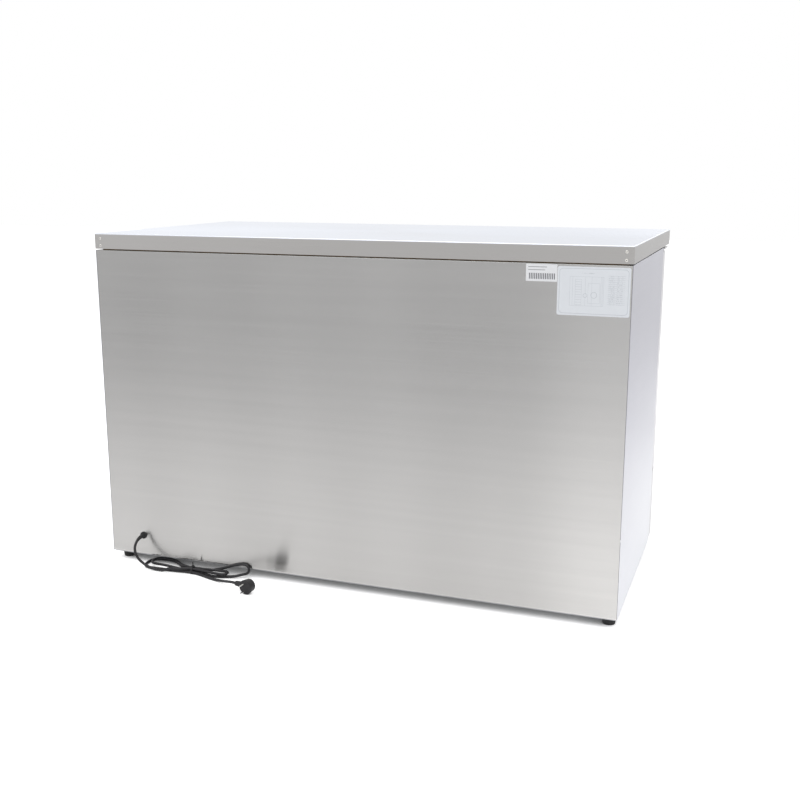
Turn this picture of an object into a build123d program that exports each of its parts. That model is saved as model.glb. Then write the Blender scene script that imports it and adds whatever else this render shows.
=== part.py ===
from build123d import *
from itertools import combinations
from math import cos, pi, radians, sin, sqrt, tan
import os

# Refrigerated worktop counter with three hinged doors, a louvred machine compartment below them
# and the mains cord tied up in a hank behind it. Millimetres.
# X runs along the counter, to the right for someone facing the doors. The doors face -Y, Z is up.
# The origin is on the floor under the middle of the worktop.

os.makedirs("parts", exist_ok=True)

# Worktop
worktop_length = 1365
worktop_depth = 700
overall_height = 880
apron_height = 39
worktop_sheet = 1.2
worktop_fold = 2
apron_lip = 14
core_clearance = 0.3

# Blind rivets, two at each end of the rear apron
rivet_inset = 16.5
rivet_drop = 13
rivet_spacing = 18
rivet_shank = 3.2
rivet_length = 4
rivet_head = 6.6
rivet_head_height = 0.9
rivet_bore = 1.8
rivet_clearance = 0.2

# Cabinet body
side_overhang = 1
back_overhang = 1
front_overhang = 124
shadow_gap = 3
panel_sheet = 0.8
seam_gap = 0.7
panel_return = 20
side_return = 15
hem_radius = 5
fold_radius = 1.5
foot_height = 22.5
base_sheet = 1.5
base_side_inset = 2.5
base_back_inset = 4
base_front_inset = 45
machine_height = 196

# Insulated chamber
side_insulation = 38
back_insulation = 43
floor_insulation = 42
ceiling_insulation = 40
liner_sheet = 1
liner_radius = 16
frame_depth = 36
frame_apron = 40
frame_corner = 3
mullion_width = 50
pipe_chase_width = 64
pipe_chase_depth = 16
chase_wall = 12
chase_window = 110

# Doors
door_names = ["left", "middle", "right"]
door_side_gap = 2
door_gap = 5
door_thickness = 52
door_foot_gap = 6
door_head_gap = 12
door_edge_radius = 3
door_liner_sheet = 1
boss_inset = 34
boss_height = 7
boss_taper = 20
gasket_gap = 11
gasket_inset = 13
gasket_width = 14
gasket_base = 2.5
gasket_neck = 7
gasket_head = 3
gasket_head_width = 11
gasket_clearance = 0.3

# Recessed grip along the top of each door
grip_width = 400
grip_height = 44
grip_depth = 22
grip_wall = 1.6
grip_lip = 15
grip_scoop = 9
grip_radius = 6
grip_clearance = 0.3

# Hinges
pin_inset = 9
pin_diameter = 8
pin_engagement = 13
pin_clearance = 0.3
collar_diameter = 14
collar_clearance = 0.2
bracket_sheet = 3
bracket_width = 30
bracket_drop = 32
bracket_front_inset = 1.5
bracket_door_gap = 1.8

# Shelves
shelf_height = 250
shelf_wire = 6
shelf_rung = 3.6
shelf_rung_pitch = 30
shelf_side_clearance = 4
shelf_front_inset = 12
shelf_depth = 440
runner_leg = 18
runner_sheet = 1.5
upright_width = 28
upright_depth = 10
upright_sheet = 1.5
upright_slot_pitch = 50
upright_slot_height = 8
upright_slot_width = 12
upright_end_gap = 30
upright_back_gap = 30

# Evaporator unit under the chamber ceiling
evaporator_width = 390
evaporator_height = 108
evaporator_depth = 330
evaporator_back_gap = 20
evaporator_sheet = 1.2
evaporator_coil_width = 320
evaporator_coil_height = 84
evaporator_coil_depth = 66
evaporator_coil_setback = 60
evaporator_fan_diameter = 86
evaporator_motor_diameter = 44

# Condensing unit
unit_width = 560
unit_depth = 440
unit_right_inset = 60
unit_front_inset = 8
unit_sheet = 1.5
unit_rim = 12
condenser_width = 300
condenser_height = 150
condenser_depth = 44
condenser_side_gap = 45
condenser_fan_diameter = 140
condenser_motor_diameter = 60
shroud_depth = 34
shroud_sheet = 1.5
fan_tip_clearance = 4
compressor_diameter = 140
compressor_height = 138
compressor_x = 330
compressor_y = 180
compressor_foot_spacing = 130
mount_height = 12
mount_diameter = 22
mount_neck = 12
pipe_diameter = 8
pipe_bend = 14
drain_diameter = 14

# Louvred service panel, controls and switch
service_sheet = 1
service_gap = 0.4
service_top_gap = 0.6
louvre_length = 120
louvre_depth = 8
louvre_pitch = 18
louvre_rows = 8
louvre_columns = 2
louvre_column_gap = 22
louvre_slot = 6
exhaust_centre = -270
bezel_centre = 560
bezel_width = 150
bezel_height = 60
bezel_flange = 2.5
bezel_wall = 1.5
bezel_body_depth = 24
bezel_body_inset = 4
bezel_clearance = 0.4
button_names = ["set", "down", "up"]
button_width = 13
button_height = 9
button_proud = 1.4
button_stem = 10
button_pitch = 17
button_row_centre = -28
button_row_drop = -13
button_clearance = 0.3
switch_centre = 50
switch_width = 14
switch_height = 24
switch_clearance = 0.5

# Rubber feet
foot_top_radius = 18
foot_base_radius = 15
foot_stud = 8
foot_stud_length = 9
foot_side_inset = 24
foot_back_inset = 39
foot_front_inset = 39
foot_edge_radius = 1.5

# Mains inlet
inlet_x = 584
inlet_height = 78
grommet_flange = 19
grommet_flange_depth = 3.5
grommet_neck = 13
grommet_clearance = 0.2
box_width = 110
box_height = 96
box_depth = 62

# Cord, hank and plug
cord_diameter = 7
hank_gap = 1
hank_waist = (422, 371)
hank_floor_gap = 1.6
tie_width = 3.6
tie_sheet = 1.1
tie_clearance = 0.15
tie_tail = 14
plug_radius = 19
plug_back_radius = 16
plug_depth = 22
plug_arm = 18
plug_arm_radius = 6.5
plug_pin = 4.8
plug_pin_length = 19
plug_pin_spacing = 19
plug_centre = (222, 443)

# Levels and faces that follow from the sizes above
top_half = worktop_length / 2
top_back = worktop_depth / 2
apron_bottom = overall_height - apron_height
body_half = top_half - side_overhang
body_back = top_back - back_overhang
body_front = front_overhang - top_back
body_top = apron_bottom - shadow_gap
body_bottom = foot_height + base_sheet
body_inner = body_half - panel_sheet
back_inner = body_back - panel_sheet
machine_top = body_bottom + machine_height
chamber_half = body_inner - side_insulation
chamber_back = back_inner - back_insulation
chamber_floor = machine_top + floor_insulation
chamber_ceiling = body_top - panel_sheet - ceiling_insulation
frame_back = body_front + frame_depth
liner_half = chamber_half - liner_sheet
liner_back = chamber_back - liner_sheet
liner_floor = chamber_floor + liner_sheet
liner_ceiling = chamber_ceiling - liner_sheet

door_count = len(door_names)
doors_half = body_half - door_side_gap
door_width = (2 * doors_half - (door_count - 1) * door_gap) / door_count
door_pitch = door_width + door_gap
door_bottom = machine_top + door_foot_gap
door_top = body_top - door_head_gap
door_height = door_top - door_bottom
door_back = body_front - gasket_gap
door_front = door_back - door_thickness
door_centres = [(i - (door_count - 1) / 2) * door_pitch for i in range(door_count)]
hinge_sides = [-1, -1, 1]
hinge_y = door_front + pin_inset
hinge_xs = [x + side * (door_width / 2 - pin_inset) for x, side in zip(door_centres, hinge_sides)]
mullion_xs = [(a + b) / 2 for a, b in zip(door_centres, door_centres[1:])]

# Planes whose sketches look at the object's back, its front and straight along the counter
back_plane = Plane(origin=(0, top_back, 0), x_dir=(-1, 0, 0), z_dir=(0, 1, 0))
body_back_plane = Plane(origin=(0, body_back, 0), x_dir=(-1, 0, 0), z_dir=(0, 1, 0))
front_plane = Plane(origin=(0, door_front, 0), x_dir=(1, 0, 0), z_dir=(0, -1, 0))
frame_plane = Plane(origin=(0, body_front, 0), x_dir=(1, 0, 0), z_dir=(0, -1, 0))


def write(builder, label):
    builder.part.label = label
    export_step(builder.part, f"parts/{label}.step")


def facing_door(centre, y):
    """Plane at depth y behind a door's lower edge, seen from in front of the counter."""
    return Plane(origin=(centre, y, door_bottom), x_dir=(1, 0, 0), z_dir=(0, -1, 0))


# Worktop: one sheet folded down on four sides, with a narrow lip turned in under the apron
rivet_zs = [overall_height - rivet_drop, overall_height - rivet_drop - rivet_spacing]
rivet_xs = [rivet_inset - top_half, top_half - rivet_inset]
rivet_points = [(x, z) for x in rivet_xs for z in rivet_zs]

with BuildPart() as worktop:
    with BuildSketch(Plane.XY.offset(apron_bottom)):
        Rectangle(worktop_length, worktop_depth)
    extrude(amount=apron_height)
    fillet(worktop.edges().filter_by(Axis.Z), worktop_fold)
    fillet(worktop.edges().group_by(Axis.Z)[-1], worktop_fold)
    with BuildSketch(Plane.XY.offset(apron_bottom + worktop_sheet)):
        Rectangle(worktop_length - 2 * worktop_sheet, worktop_depth - 2 * worktop_sheet)
    extrude(amount=apron_height - 2 * worktop_sheet, mode=Mode.SUBTRACT)
    with BuildSketch(Plane.XY.offset(apron_bottom)):
        Rectangle(worktop_length - 2 * apron_lip, worktop_depth - 2 * apron_lip)
    extrude(amount=worktop_sheet, mode=Mode.SUBTRACT)
    with BuildSketch(back_plane):
        with Locations(*rivet_points):
            Circle(rivet_shank / 2 + rivet_clearance)
    extrude(amount=-2 * worktop_sheet, mode=Mode.SUBTRACT)

# Board that stiffens the worktop and carries it on the cabinet, leaving the shadow gap all round
core_inset = worktop_sheet + core_clearance
with BuildPart() as worktop_core:
    with BuildSketch(Plane.XY.offset(apron_bottom + core_inset)):
        Rectangle(worktop_length - 2 * core_inset, worktop_depth - 2 * core_inset)
    extrude(amount=apron_height - core_inset - worktop_sheet)
    with BuildSketch(Plane.XY.offset(body_top)):
        lip_inset = apron_lip + core_clearance
        Rectangle(worktop_length - 2 * lip_inset, worktop_depth - 2 * lip_inset)
    extrude(amount=shadow_gap + core_inset)
    with BuildSketch(back_plane):
        with Locations(*rivet_points):
            Circle(rivet_shank / 2 + rivet_clearance)
    extrude(amount=-rivet_length - 2 * core_clearance, mode=Mode.SUBTRACT)

with BuildPart() as worktop_rivets:
    with BuildSketch(back_plane):
        with Locations(*rivet_points):
            Circle(rivet_head / 2)
    extrude(amount=rivet_head_height)
    fillet(worktop_rivets.edges().group_by(Axis.Y)[-1], rivet_head_height * 0.7)
    with BuildSketch(back_plane):
        with Locations(*rivet_points):
            Circle(rivet_shank / 2)
    extrude(amount=-rivet_length)
    with BuildSketch(back_plane.offset(rivet_head_height)):
        with Locations(*rivet_points):
            Circle(rivet_bore / 2)
    extrude(amount=-rivet_length / 2, mode=Mode.SUBTRACT)

# Back sheet, folded in at the top and rolled under the cabinet at the bottom
back_half = body_inner - seam_gap
with BuildPart() as back_panel:
    with BuildSketch(Plane.YZ.offset(-back_half)):
        with BuildLine():
            FilletPolyline(
                (body_back - panel_return, body_bottom),
                (body_back, body_bottom),
                (body_back, body_top),
                (body_back - panel_return, body_top),
                radius=[hem_radius, fold_radius],
            )
            offset(amount=panel_sheet, side=Side.LEFT)
        make_face()
    extrude(amount=2 * back_half)
    with BuildSketch(body_back_plane):
        with Locations((-inlet_x, inlet_height)):
            Circle(grommet_neck / 2 + grommet_clearance)
    extrude(amount=-2 * panel_sheet, mode=Mode.SUBTRACT)


def side_panel(side):
    """Side sheet with its returns under the worktop and over the base; side is -1 or 1."""
    with BuildPart() as panel:
        with BuildSketch(Plane.XZ.offset(-body_front)):
            with BuildLine():
                FilletPolyline(
                    (side * (body_half - side_return), body_bottom),
                    (side * body_half, body_bottom),
                    (side * body_half, body_top),
                    (side * (body_half - side_return), body_top),
                    radius=[fold_radius, fold_radius],
                )
                offset(amount=panel_sheet, side=Side.LEFT if side > 0 else Side.RIGHT)
            make_face()
        extrude(amount=body_front - body_back)
        flange_end = body_back - panel_return - seam_gap
        with BuildSketch(Plane.XY.offset(body_bottom)):
            with Locations((side * (body_inner - fold_radius), (flange_end + body_back) / 2)):
                Rectangle(2 * side_return, body_back - flange_end, align=Align.CENTER)
            with Locations((side * body_half, (flange_end + body_back) / 2)):
                Rectangle(2 * panel_sheet, body_back - flange_end, mode=Mode.SUBTRACT)
        extrude(amount=body_top - body_bottom, mode=Mode.SUBTRACT)
    return panel


side_panel_left = side_panel(-1)
side_panel_right = side_panel(1)

# Feet stand in holes of the base pan
foot_xs = [-(body_half - foot_side_inset), body_half - foot_side_inset]
foot_ys = [body_front + foot_front_inset + base_front_inset, body_back - foot_back_inset]
foot_points = [(x, y) for x in foot_xs for y in foot_ys]

base_half = body_half - base_side_inset
base_front = body_front + base_front_inset
base_back = body_back - base_back_inset
with BuildPart() as base_pan:
    with BuildSketch(Plane.XY.offset(foot_height)):
        with Locations((0, (base_front + base_back) / 2)):
            Rectangle(2 * base_half, base_back - base_front)
        with Locations(*foot_points):
            Circle(foot_stud / 2 + pin_clearance, mode=Mode.SUBTRACT)
    extrude(amount=base_sheet)

with BuildPart() as rubber_feet:
    for foot_point in foot_points:
        with BuildSketch(Plane(origin=(*foot_point, 0))):
            Circle(foot_base_radius)
        with BuildSketch(Plane(origin=(*foot_point, foot_height))):
            Circle(foot_top_radius)
        loft()
    fillet(rubber_feet.edges().group_by(Axis.Z)[0], foot_edge_radius)
    with BuildSketch(Plane.XY.offset(foot_height)):
        with Locations(*foot_points):
            Circle(foot_stud / 2)
    extrude(amount=foot_stud_length)

# Foamed insulation, open to the doors, with a chase in its back wall for the pipes
chase_y = back_inner - chase_wall - pipe_chase_depth / 2
chase_top = chamber_ceiling - ceiling_insulation
with BuildPart() as insulation_foam:
    with BuildSketch(frame_plane.offset(-frame_depth)):
        with Locations((0, (machine_top + body_top - panel_sheet) / 2)):
            Rectangle(2 * body_inner, body_top - panel_sheet - machine_top)
    extrude(amount=frame_back - back_inner)
    fillet(insulation_foam.edges().group_by(Axis.Z)[-1], fold_radius)
    with BuildSketch(frame_plane.offset(-frame_depth)):
        with Locations((0, (chamber_floor + chamber_ceiling) / 2)):
            RectangleRounded(2 * chamber_half, chamber_ceiling - chamber_floor, liner_radius)
    extrude(amount=frame_back - chamber_back, mode=Mode.SUBTRACT)
    with BuildSketch(Plane.XY.offset(machine_top)):
        with Locations((0, chase_y)):
            Rectangle(pipe_chase_width, pipe_chase_depth)
    extrude(amount=chase_top - machine_top, mode=Mode.SUBTRACT)
    with BuildSketch(Plane.XZ.offset(-chamber_back)):
        with Locations((0, chase_top - chase_window / 2)):
            Rectangle(pipe_chase_width, chase_window)
    extrude(amount=-(chase_y - chamber_back), mode=Mode.SUBTRACT)

# Liner with its long edges rounded for cleaning
with BuildPart() as inner_liner:
    with BuildSketch(frame_plane.offset(-frame_depth)):
        with Locations((0, (chamber_floor + chamber_ceiling) / 2)):
            RectangleRounded(2 * chamber_half, chamber_ceiling - chamber_floor, liner_radius)
    extrude(amount=frame_back - chamber_back)
    with BuildSketch(frame_plane.offset(-frame_depth)):
        with Locations((0, (chamber_floor + chamber_ceiling) / 2)):
            RectangleRounded(2 * liner_half, liner_ceiling - liner_floor, liner_radius - liner_sheet)
    extrude(amount=frame_back - liner_back, mode=Mode.SUBTRACT)
    with BuildSketch(Plane.XZ.offset(-liner_back)):
        with Locations((0, chase_top - chase_window / 2)):
            Rectangle(pipe_chase_width, chase_window)
    extrude(amount=-2 * liner_sheet, mode=Mode.SUBTRACT)

# Front frame with its two mullions, which the door gaskets close on
frame_bottom = machine_top - frame_apron
bay_edges = [-chamber_half]
for mullion_x in mullion_xs:
    bay_edges += [mullion_x - mullion_width / 2, mullion_x + mullion_width / 2]
bay_edges.append(chamber_half)
bays = list(zip(bay_edges[::2], bay_edges[1::2]))
with BuildPart() as front_frame:
    with BuildSketch(frame_plane):
        with Locations((0, (frame_bottom + body_top - panel_sheet) / 2)):
            Rectangle(2 * body_inner, body_top - panel_sheet - frame_bottom)
        for bay_left, bay_right in bays:
            with Locations(((bay_left + bay_right) / 2, (chamber_floor + chamber_ceiling) / 2)):
                RectangleRounded(
                    bay_right - bay_left,
                    chamber_ceiling - chamber_floor,
                    frame_corner,
                    mode=Mode.SUBTRACT,
                )
    extrude(amount=-frame_depth)

# Doors
bore_radius = pin_diameter / 2 + pin_clearance
grip_outline = [
    (grip_clearance, -grip_height + grip_clearance),
    (grip_depth - grip_clearance, -grip_height + grip_scoop),
    (grip_depth - grip_clearance, -grip_clearance),
    (grip_clearance, -grip_clearance),
    (grip_clearance, -grip_lip),
]


def door_skin(centre, hinge_x):
    """Outer door sheet, open at the back, notched for the grip and bored for the hinge pins."""
    with BuildPart() as skin:
        with BuildSketch(Plane.XY.offset(door_bottom)):
            with Locations((centre, (door_front + door_back) / 2)):
                Rectangle(door_width, door_thickness)
        extrude(amount=door_height)
        fillet(skin.edges().filter_by(Axis.Z).group_by(Axis.Y)[0], door_edge_radius)
        with BuildSketch(facing_door(centre, door_front + panel_sheet)):
            with Locations((0, door_height / 2)):
                Rectangle(door_width - 2 * panel_sheet, door_height - 2 * panel_sheet)
        extrude(amount=-door_thickness, mode=Mode.SUBTRACT)
        with BuildSketch(facing_door(centre, door_front)):
            with Locations((0, door_height - grip_height / 2)):
                Rectangle(grip_width, grip_height)
        extrude(amount=-grip_depth, mode=Mode.SUBTRACT)
        with BuildSketch(Plane.XY.offset(door_bottom)):
            with Locations((hinge_x, hinge_y)):
                Circle(bore_radius)
        extrude(amount=door_height, mode=Mode.SUBTRACT)
    return skin


def door_core(centre, hinge_x):
    """Foam that fills the door, with the raised back that the inner panel is moulded over."""
    inner_width = door_width - 2 * panel_sheet
    inner_height = door_height - 2 * panel_sheet
    with BuildPart() as core:
        with BuildSketch(facing_door(centre, door_front + panel_sheet)):
            with Locations((0, door_height / 2)):
                Rectangle(inner_width, inner_height)
        extrude(amount=-(door_thickness - panel_sheet - door_liner_sheet))
        with BuildSketch(facing_door(centre, door_back - door_liner_sheet)):
            with Locations((0, door_height / 2)):
                Rectangle(door_width - 2 * boss_inset, door_height - 2 * boss_inset)
        extrude(amount=-boss_height, taper=boss_taper)
        with BuildSketch(facing_door(centre, door_front)):
            with Locations((0, door_height - grip_height / 2)):
                Rectangle(grip_width, grip_height)
        extrude(amount=-grip_depth, mode=Mode.SUBTRACT)
        for level in (door_bottom, door_top - pin_engagement):
            with BuildSketch(Plane.XY.offset(level)):
                with Locations((hinge_x, hinge_y)):
                    Circle(bore_radius)
            extrude(amount=pin_engagement, mode=Mode.SUBTRACT)
    return core


def door_liner(centre):
    """Inner door panel with its raised middle."""
    liner_width = door_width - 2 * panel_sheet - 2 * grip_clearance
    liner_height = door_height - 2 * panel_sheet - 2 * grip_clearance
    with BuildPart() as liner:
        with BuildSketch(facing_door(centre, door_back - door_liner_sheet)):
            with Locations((0, door_height / 2)):
                Rectangle(liner_width, liner_height)
        extrude(amount=-door_liner_sheet)
        with BuildSketch(facing_door(centre, door_back)):
            with Locations((0, door_height / 2)):
                Rectangle(
                    door_width - 2 * boss_inset + 2 * door_liner_sheet,
                    door_height - 2 * boss_inset + 2 * door_liner_sheet,
                )
        extrude(amount=-boss_height, taper=boss_taper)
        with BuildSketch(facing_door(centre, door_back - door_liner_sheet)):
            with Locations((0, door_height / 2)):
                Rectangle(door_width - 2 * boss_inset, door_height - 2 * boss_inset)
        extrude(amount=-boss_height, taper=boss_taper, mode=Mode.SUBTRACT)
    return liner


def door_gasket(centre):
    """Magnetic gasket: a base strip, a thin bellows and the magnet bead, round the door."""
    outer_width = door_width - 2 * gasket_inset
    outer_height = door_height - 2 * gasket_inset
    bead_depth = gasket_gap - gasket_clearance - gasket_base
    rings = [
        (door_back, gasket_width, gasket_base),
        (door_back + gasket_base, gasket_neck, bead_depth - gasket_head),
        (door_back + gasket_gap - gasket_clearance - gasket_head, gasket_head_width, gasket_head),
    ]
    with BuildPart() as gasket:
        for ring_y, ring_width, ring_depth in rings:
            ring_inset = gasket_width - ring_width
            with BuildSketch(facing_door(centre, ring_y)):
                with Locations((0, door_height / 2)):
                    Rectangle(outer_width - ring_inset, outer_height - ring_inset)
                    Rectangle(
                        outer_width - ring_inset - 2 * ring_width,
                        outer_height - ring_inset - 2 * ring_width,
                        mode=Mode.SUBTRACT,
                    )
            extrude(amount=-ring_depth)
    return gasket


def door_grip(centre):
    """Recessed pull: a folded channel with a hooked front lip and closed ends."""
    grip_length = grip_width - 2 * grip_clearance
    grip_start = Plane(
        origin=(centre - grip_length / 2, door_front, door_top), x_dir=(0, 1, 0), z_dir=(1, 0, 0)
    )
    with BuildPart() as grip:
        with BuildSketch(grip_start):
            with BuildLine():
                FilletPolyline(*grip_outline, radius=[grip_radius, grip_wall, grip_wall])
                offset(amount=grip_wall, side=Side.LEFT)
            make_face()
        extrude(amount=grip_length)
        for cap_offset in (0, grip_length - grip_wall):
            with BuildSketch(grip_start.offset(cap_offset)):
                Polygon(*grip_outline[:4], align=None)
            extrude(amount=grip_wall)
    return grip


doors = {}
for door_name, door_centre, door_hinge_x in zip(door_names, door_centres, hinge_xs):
    doors[f"door_skin_{door_name}"] = door_skin(door_centre, door_hinge_x)
    doors[f"door_core_{door_name}"] = door_core(door_centre, door_hinge_x)
    doors[f"door_liner_{door_name}"] = door_liner(door_centre)
    doors[f"door_gasket_{door_name}"] = door_gasket(door_centre)
    doors[f"door_grip_{door_name}"] = door_grip(door_centre)

# Hinge brackets: angles screwed to the front frame below, plates under the worktop above
lower_plate_top = door_bottom - bracket_door_gap
upper_plate_bottom = body_top - bracket_sheet
plate_front = door_front + bracket_front_inset
with BuildPart() as hinge_brackets_lower:
    for hinge_x in hinge_xs:
        with BuildSketch(Plane.XY.offset(lower_plate_top - bracket_sheet)):
            with Locations((hinge_x, (plate_front + body_front) / 2)):
                Rectangle(2 * pin_inset, body_front - plate_front)
            with Locations((hinge_x, hinge_y)):
                Circle(pin_diameter / 2 + pin_clearance, mode=Mode.SUBTRACT)
        extrude(amount=bracket_sheet)
        with BuildSketch(frame_plane):
            with Locations((hinge_x, lower_plate_top - bracket_drop / 2)):
                Rectangle(2 * pin_inset, bracket_drop)
        extrude(amount=bracket_sheet)

with BuildPart() as hinge_brackets_upper:
    for hinge_x in hinge_xs:
        with BuildSketch(Plane.XY.offset(upper_plate_bottom)):
            with Locations((hinge_x, (plate_front + body_front) / 2)):
                Rectangle(bracket_width, body_front - plate_front)
            with Locations((hinge_x, hinge_y)):
                Circle(pin_diameter / 2 + pin_clearance, mode=Mode.SUBTRACT)
        extrude(amount=bracket_sheet)

pin_end = pin_engagement - pin_clearance
pin_points = [(hinge_x, hinge_y) for hinge_x in hinge_xs]
with BuildPart() as hinge_pins:
    with BuildSketch(Plane.XY.offset(lower_plate_top - bracket_sheet)):
        with Locations(*pin_points):
            Circle(pin_diameter / 2)
    extrude(amount=bracket_sheet + bracket_door_gap + pin_end)
    with BuildSketch(Plane.XY.offset(lower_plate_top)):
        with Locations(*pin_points):
            Circle(collar_diameter / 2)
    extrude(amount=bracket_door_gap - collar_clearance)
    with BuildSketch(Plane.XY.offset(door_top - pin_end)):
        with Locations(*pin_points):
            Circle(pin_diameter / 2)
    extrude(amount=body_top - door_top + pin_end)
    with BuildSketch(Plane.XY.offset(door_top + collar_clearance)):
        with Locations(*pin_points):
            Circle(collar_diameter / 2)
    extrude(amount=upper_plate_bottom - door_top - collar_clearance)

# Slotted uprights: on the side walls, on the backs of the mullions and on the rear wall
upright_bottom = liner_floor + upright_end_gap
upright_top = liner_ceiling - upright_end_gap
shelf_front_y = frame_back + shelf_front_inset
shelf_back_y = shelf_front_y + shelf_depth
wall_ys = [shelf_front_y + upright_width / 2 + upright_back_gap, shelf_back_y - upright_back_gap]
upright_planes = [
    Plane(origin=(side * liner_half, y, 0), x_dir=(0, -side, 0), z_dir=(-side, 0, 0))
    for side in (-1, 1)
    for y in wall_ys
]
upright_planes += [
    Plane(origin=(x, frame_back, 0), x_dir=(-1, 0, 0), z_dir=(0, 1, 0)) for x in mullion_xs
]
upright_planes += [
    Plane(origin=(x, liner_back, 0), x_dir=(1, 0, 0), z_dir=(0, -1, 0)) for x in mullion_xs
]
upright_length = upright_top - upright_bottom
slot_count = int(upright_length / upright_slot_pitch)
slot_zs = [upright_bottom + upright_slot_pitch * (i + 0.5) for i in range(slot_count)]
with BuildPart() as shelf_uprights:
    for upright_plane in upright_planes:
        with BuildSketch(upright_plane):
            with Locations((0, (upright_bottom + upright_top) / 2)):
                Rectangle(upright_width, upright_length)
        extrude(amount=upright_depth)
        with BuildSketch(upright_plane):
            with Locations((0, (upright_bottom + upright_top) / 2)):
                Rectangle(upright_width - 2 * upright_sheet, upright_length)
        extrude(amount=upright_depth - upright_sheet, mode=Mode.SUBTRACT)
        with BuildSketch(upright_plane.offset(upright_depth)):
            with Locations(*[(0, z) for z in slot_zs]):
                Rectangle(upright_slot_width, upright_slot_height)
        extrude(amount=-2 * upright_sheet, mode=Mode.SUBTRACT)

# Angle runners on both sides of each bay, hooked to the uprights
shelf_z = liner_floor + shelf_height
wall_runner_x = liner_half - upright_depth
runner_inner_xs = [-wall_runner_x]
for mullion_x in mullion_xs:
    runner_inner_xs += [mullion_x - upright_width / 2, mullion_x + upright_width / 2]
runner_inner_xs.append(wall_runner_x)
runner_directions = [1, -1] * door_count
with BuildPart() as shelf_runners:
    for runner_x, direction in zip(runner_inner_xs, runner_directions):
        at_wall = abs(runner_x) > abs(door_centres[0]) + mullion_width
        runner_start = shelf_front_y if at_wall else frame_back + core_clearance
        runner_end = shelf_back_y if at_wall else liner_back - core_clearance
        with BuildSketch(Plane.XZ.offset(-runner_start)):
            with BuildLine():
                Polyline(
                    (runner_x + direction * core_clearance, shelf_z + runner_leg),
                    (runner_x + direction * core_clearance, shelf_z),
                    (runner_x + direction * (core_clearance + runner_leg), shelf_z),
                )
                offset(amount=runner_sheet, side=Side.LEFT if direction > 0 else Side.RIGHT)
            make_face()
        extrude(amount=runner_start - runner_end)


def wire_shelf(bay):
    """Plated wire shelf: a frame of thick wire with thinner rungs laid across it."""
    shelf_left = runner_inner_xs[2 * bay] + runner_sheet + shelf_side_clearance
    shelf_right = runner_inner_xs[2 * bay + 1] - runner_sheet - shelf_side_clearance
    centre = (shelf_left + shelf_right) / 2
    width = shelf_right - shelf_left
    wire_z = shelf_z + runner_sheet + core_clearance + shelf_wire / 2
    rung_span = shelf_depth - 2 * shelf_wire
    rung_count = int(width / shelf_rung_pitch)
    rung_xs = [centre + (i - (rung_count - 1) / 2) * shelf_rung_pitch for i in range(rung_count)]
    bar_ys = [shelf_front_y + shelf_wire / 2, (shelf_front_y + shelf_back_y) / 2]
    bar_ys.append(shelf_back_y - shelf_wire / 2)
    with BuildPart() as shelf:
        for side in (-1, 1):
            side_wire = Plane(
                origin=(centre + side * (width - shelf_wire) / 2, shelf_front_y, wire_z),
                x_dir=(1, 0, 0),
                z_dir=(0, 1, 0),
            )
            with BuildSketch(side_wire):
                RegularPolygon(shelf_wire / 2, 6)
            extrude(amount=shelf_depth)
        for bar_y in bar_ys:
            with BuildSketch(Plane(origin=(shelf_left, bar_y, wire_z), x_dir=(0, 1, 0), z_dir=(1, 0, 0))):
                RegularPolygon(shelf_wire / 2, 6)
            extrude(amount=width)
        for rung_x in rung_xs:
            rung_plane = Plane(
                origin=(rung_x, shelf_front_y + shelf_wire / 2, wire_z + shelf_wire / 2),
                x_dir=(1, 0, 0),
                z_dir=(0, 1, 0),
            )
            with BuildSketch(rung_plane):
                Rectangle(shelf_rung, shelf_rung)
            extrude(amount=rung_span + shelf_wire)
    return shelf


shelves = {f"wire_shelf_{name}": wire_shelf(i) for i, name in enumerate(door_names)}


def fan_rotor(plane, diameter, hub_radius, hub_depth, blade_count, bore):
    """Axial rotor about the plane's normal: a hub with pitched blades that widen to the tip."""
    root_chord = hub_radius * 0.9
    tip_chord = diameter * 0.26
    blade_sheet = 1.6
    with BuildPart() as rotor:
        with BuildSketch(plane.offset(-hub_depth / 2)):
            Circle(hub_radius)
            Circle(bore, mode=Mode.SUBTRACT)
        extrude(amount=hub_depth)
        for i in range(blade_count):
            angle = 2 * pi * i / blade_count
            radial = plane.x_dir * cos(angle) + plane.y_dir * sin(angle)
            across = plane.z_dir.cross(radial)
            for_root = Plane(origin=plane.origin + radial * (hub_radius * 0.8), x_dir=across, z_dir=radial)
            for_tip = Plane(origin=plane.origin + radial * (diameter / 2), x_dir=across, z_dir=radial)
            with BuildSketch(for_root):
                Rectangle(root_chord, blade_sheet, rotation=42)
            with BuildSketch(for_tip):
                Rectangle(tip_chord, blade_sheet, rotation=22)
            loft()
        with BuildSketch(plane.offset(-hub_depth)):
            Circle(bore)
        extrude(amount=2 * hub_depth, mode=Mode.SUBTRACT)
    return rotor


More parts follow.
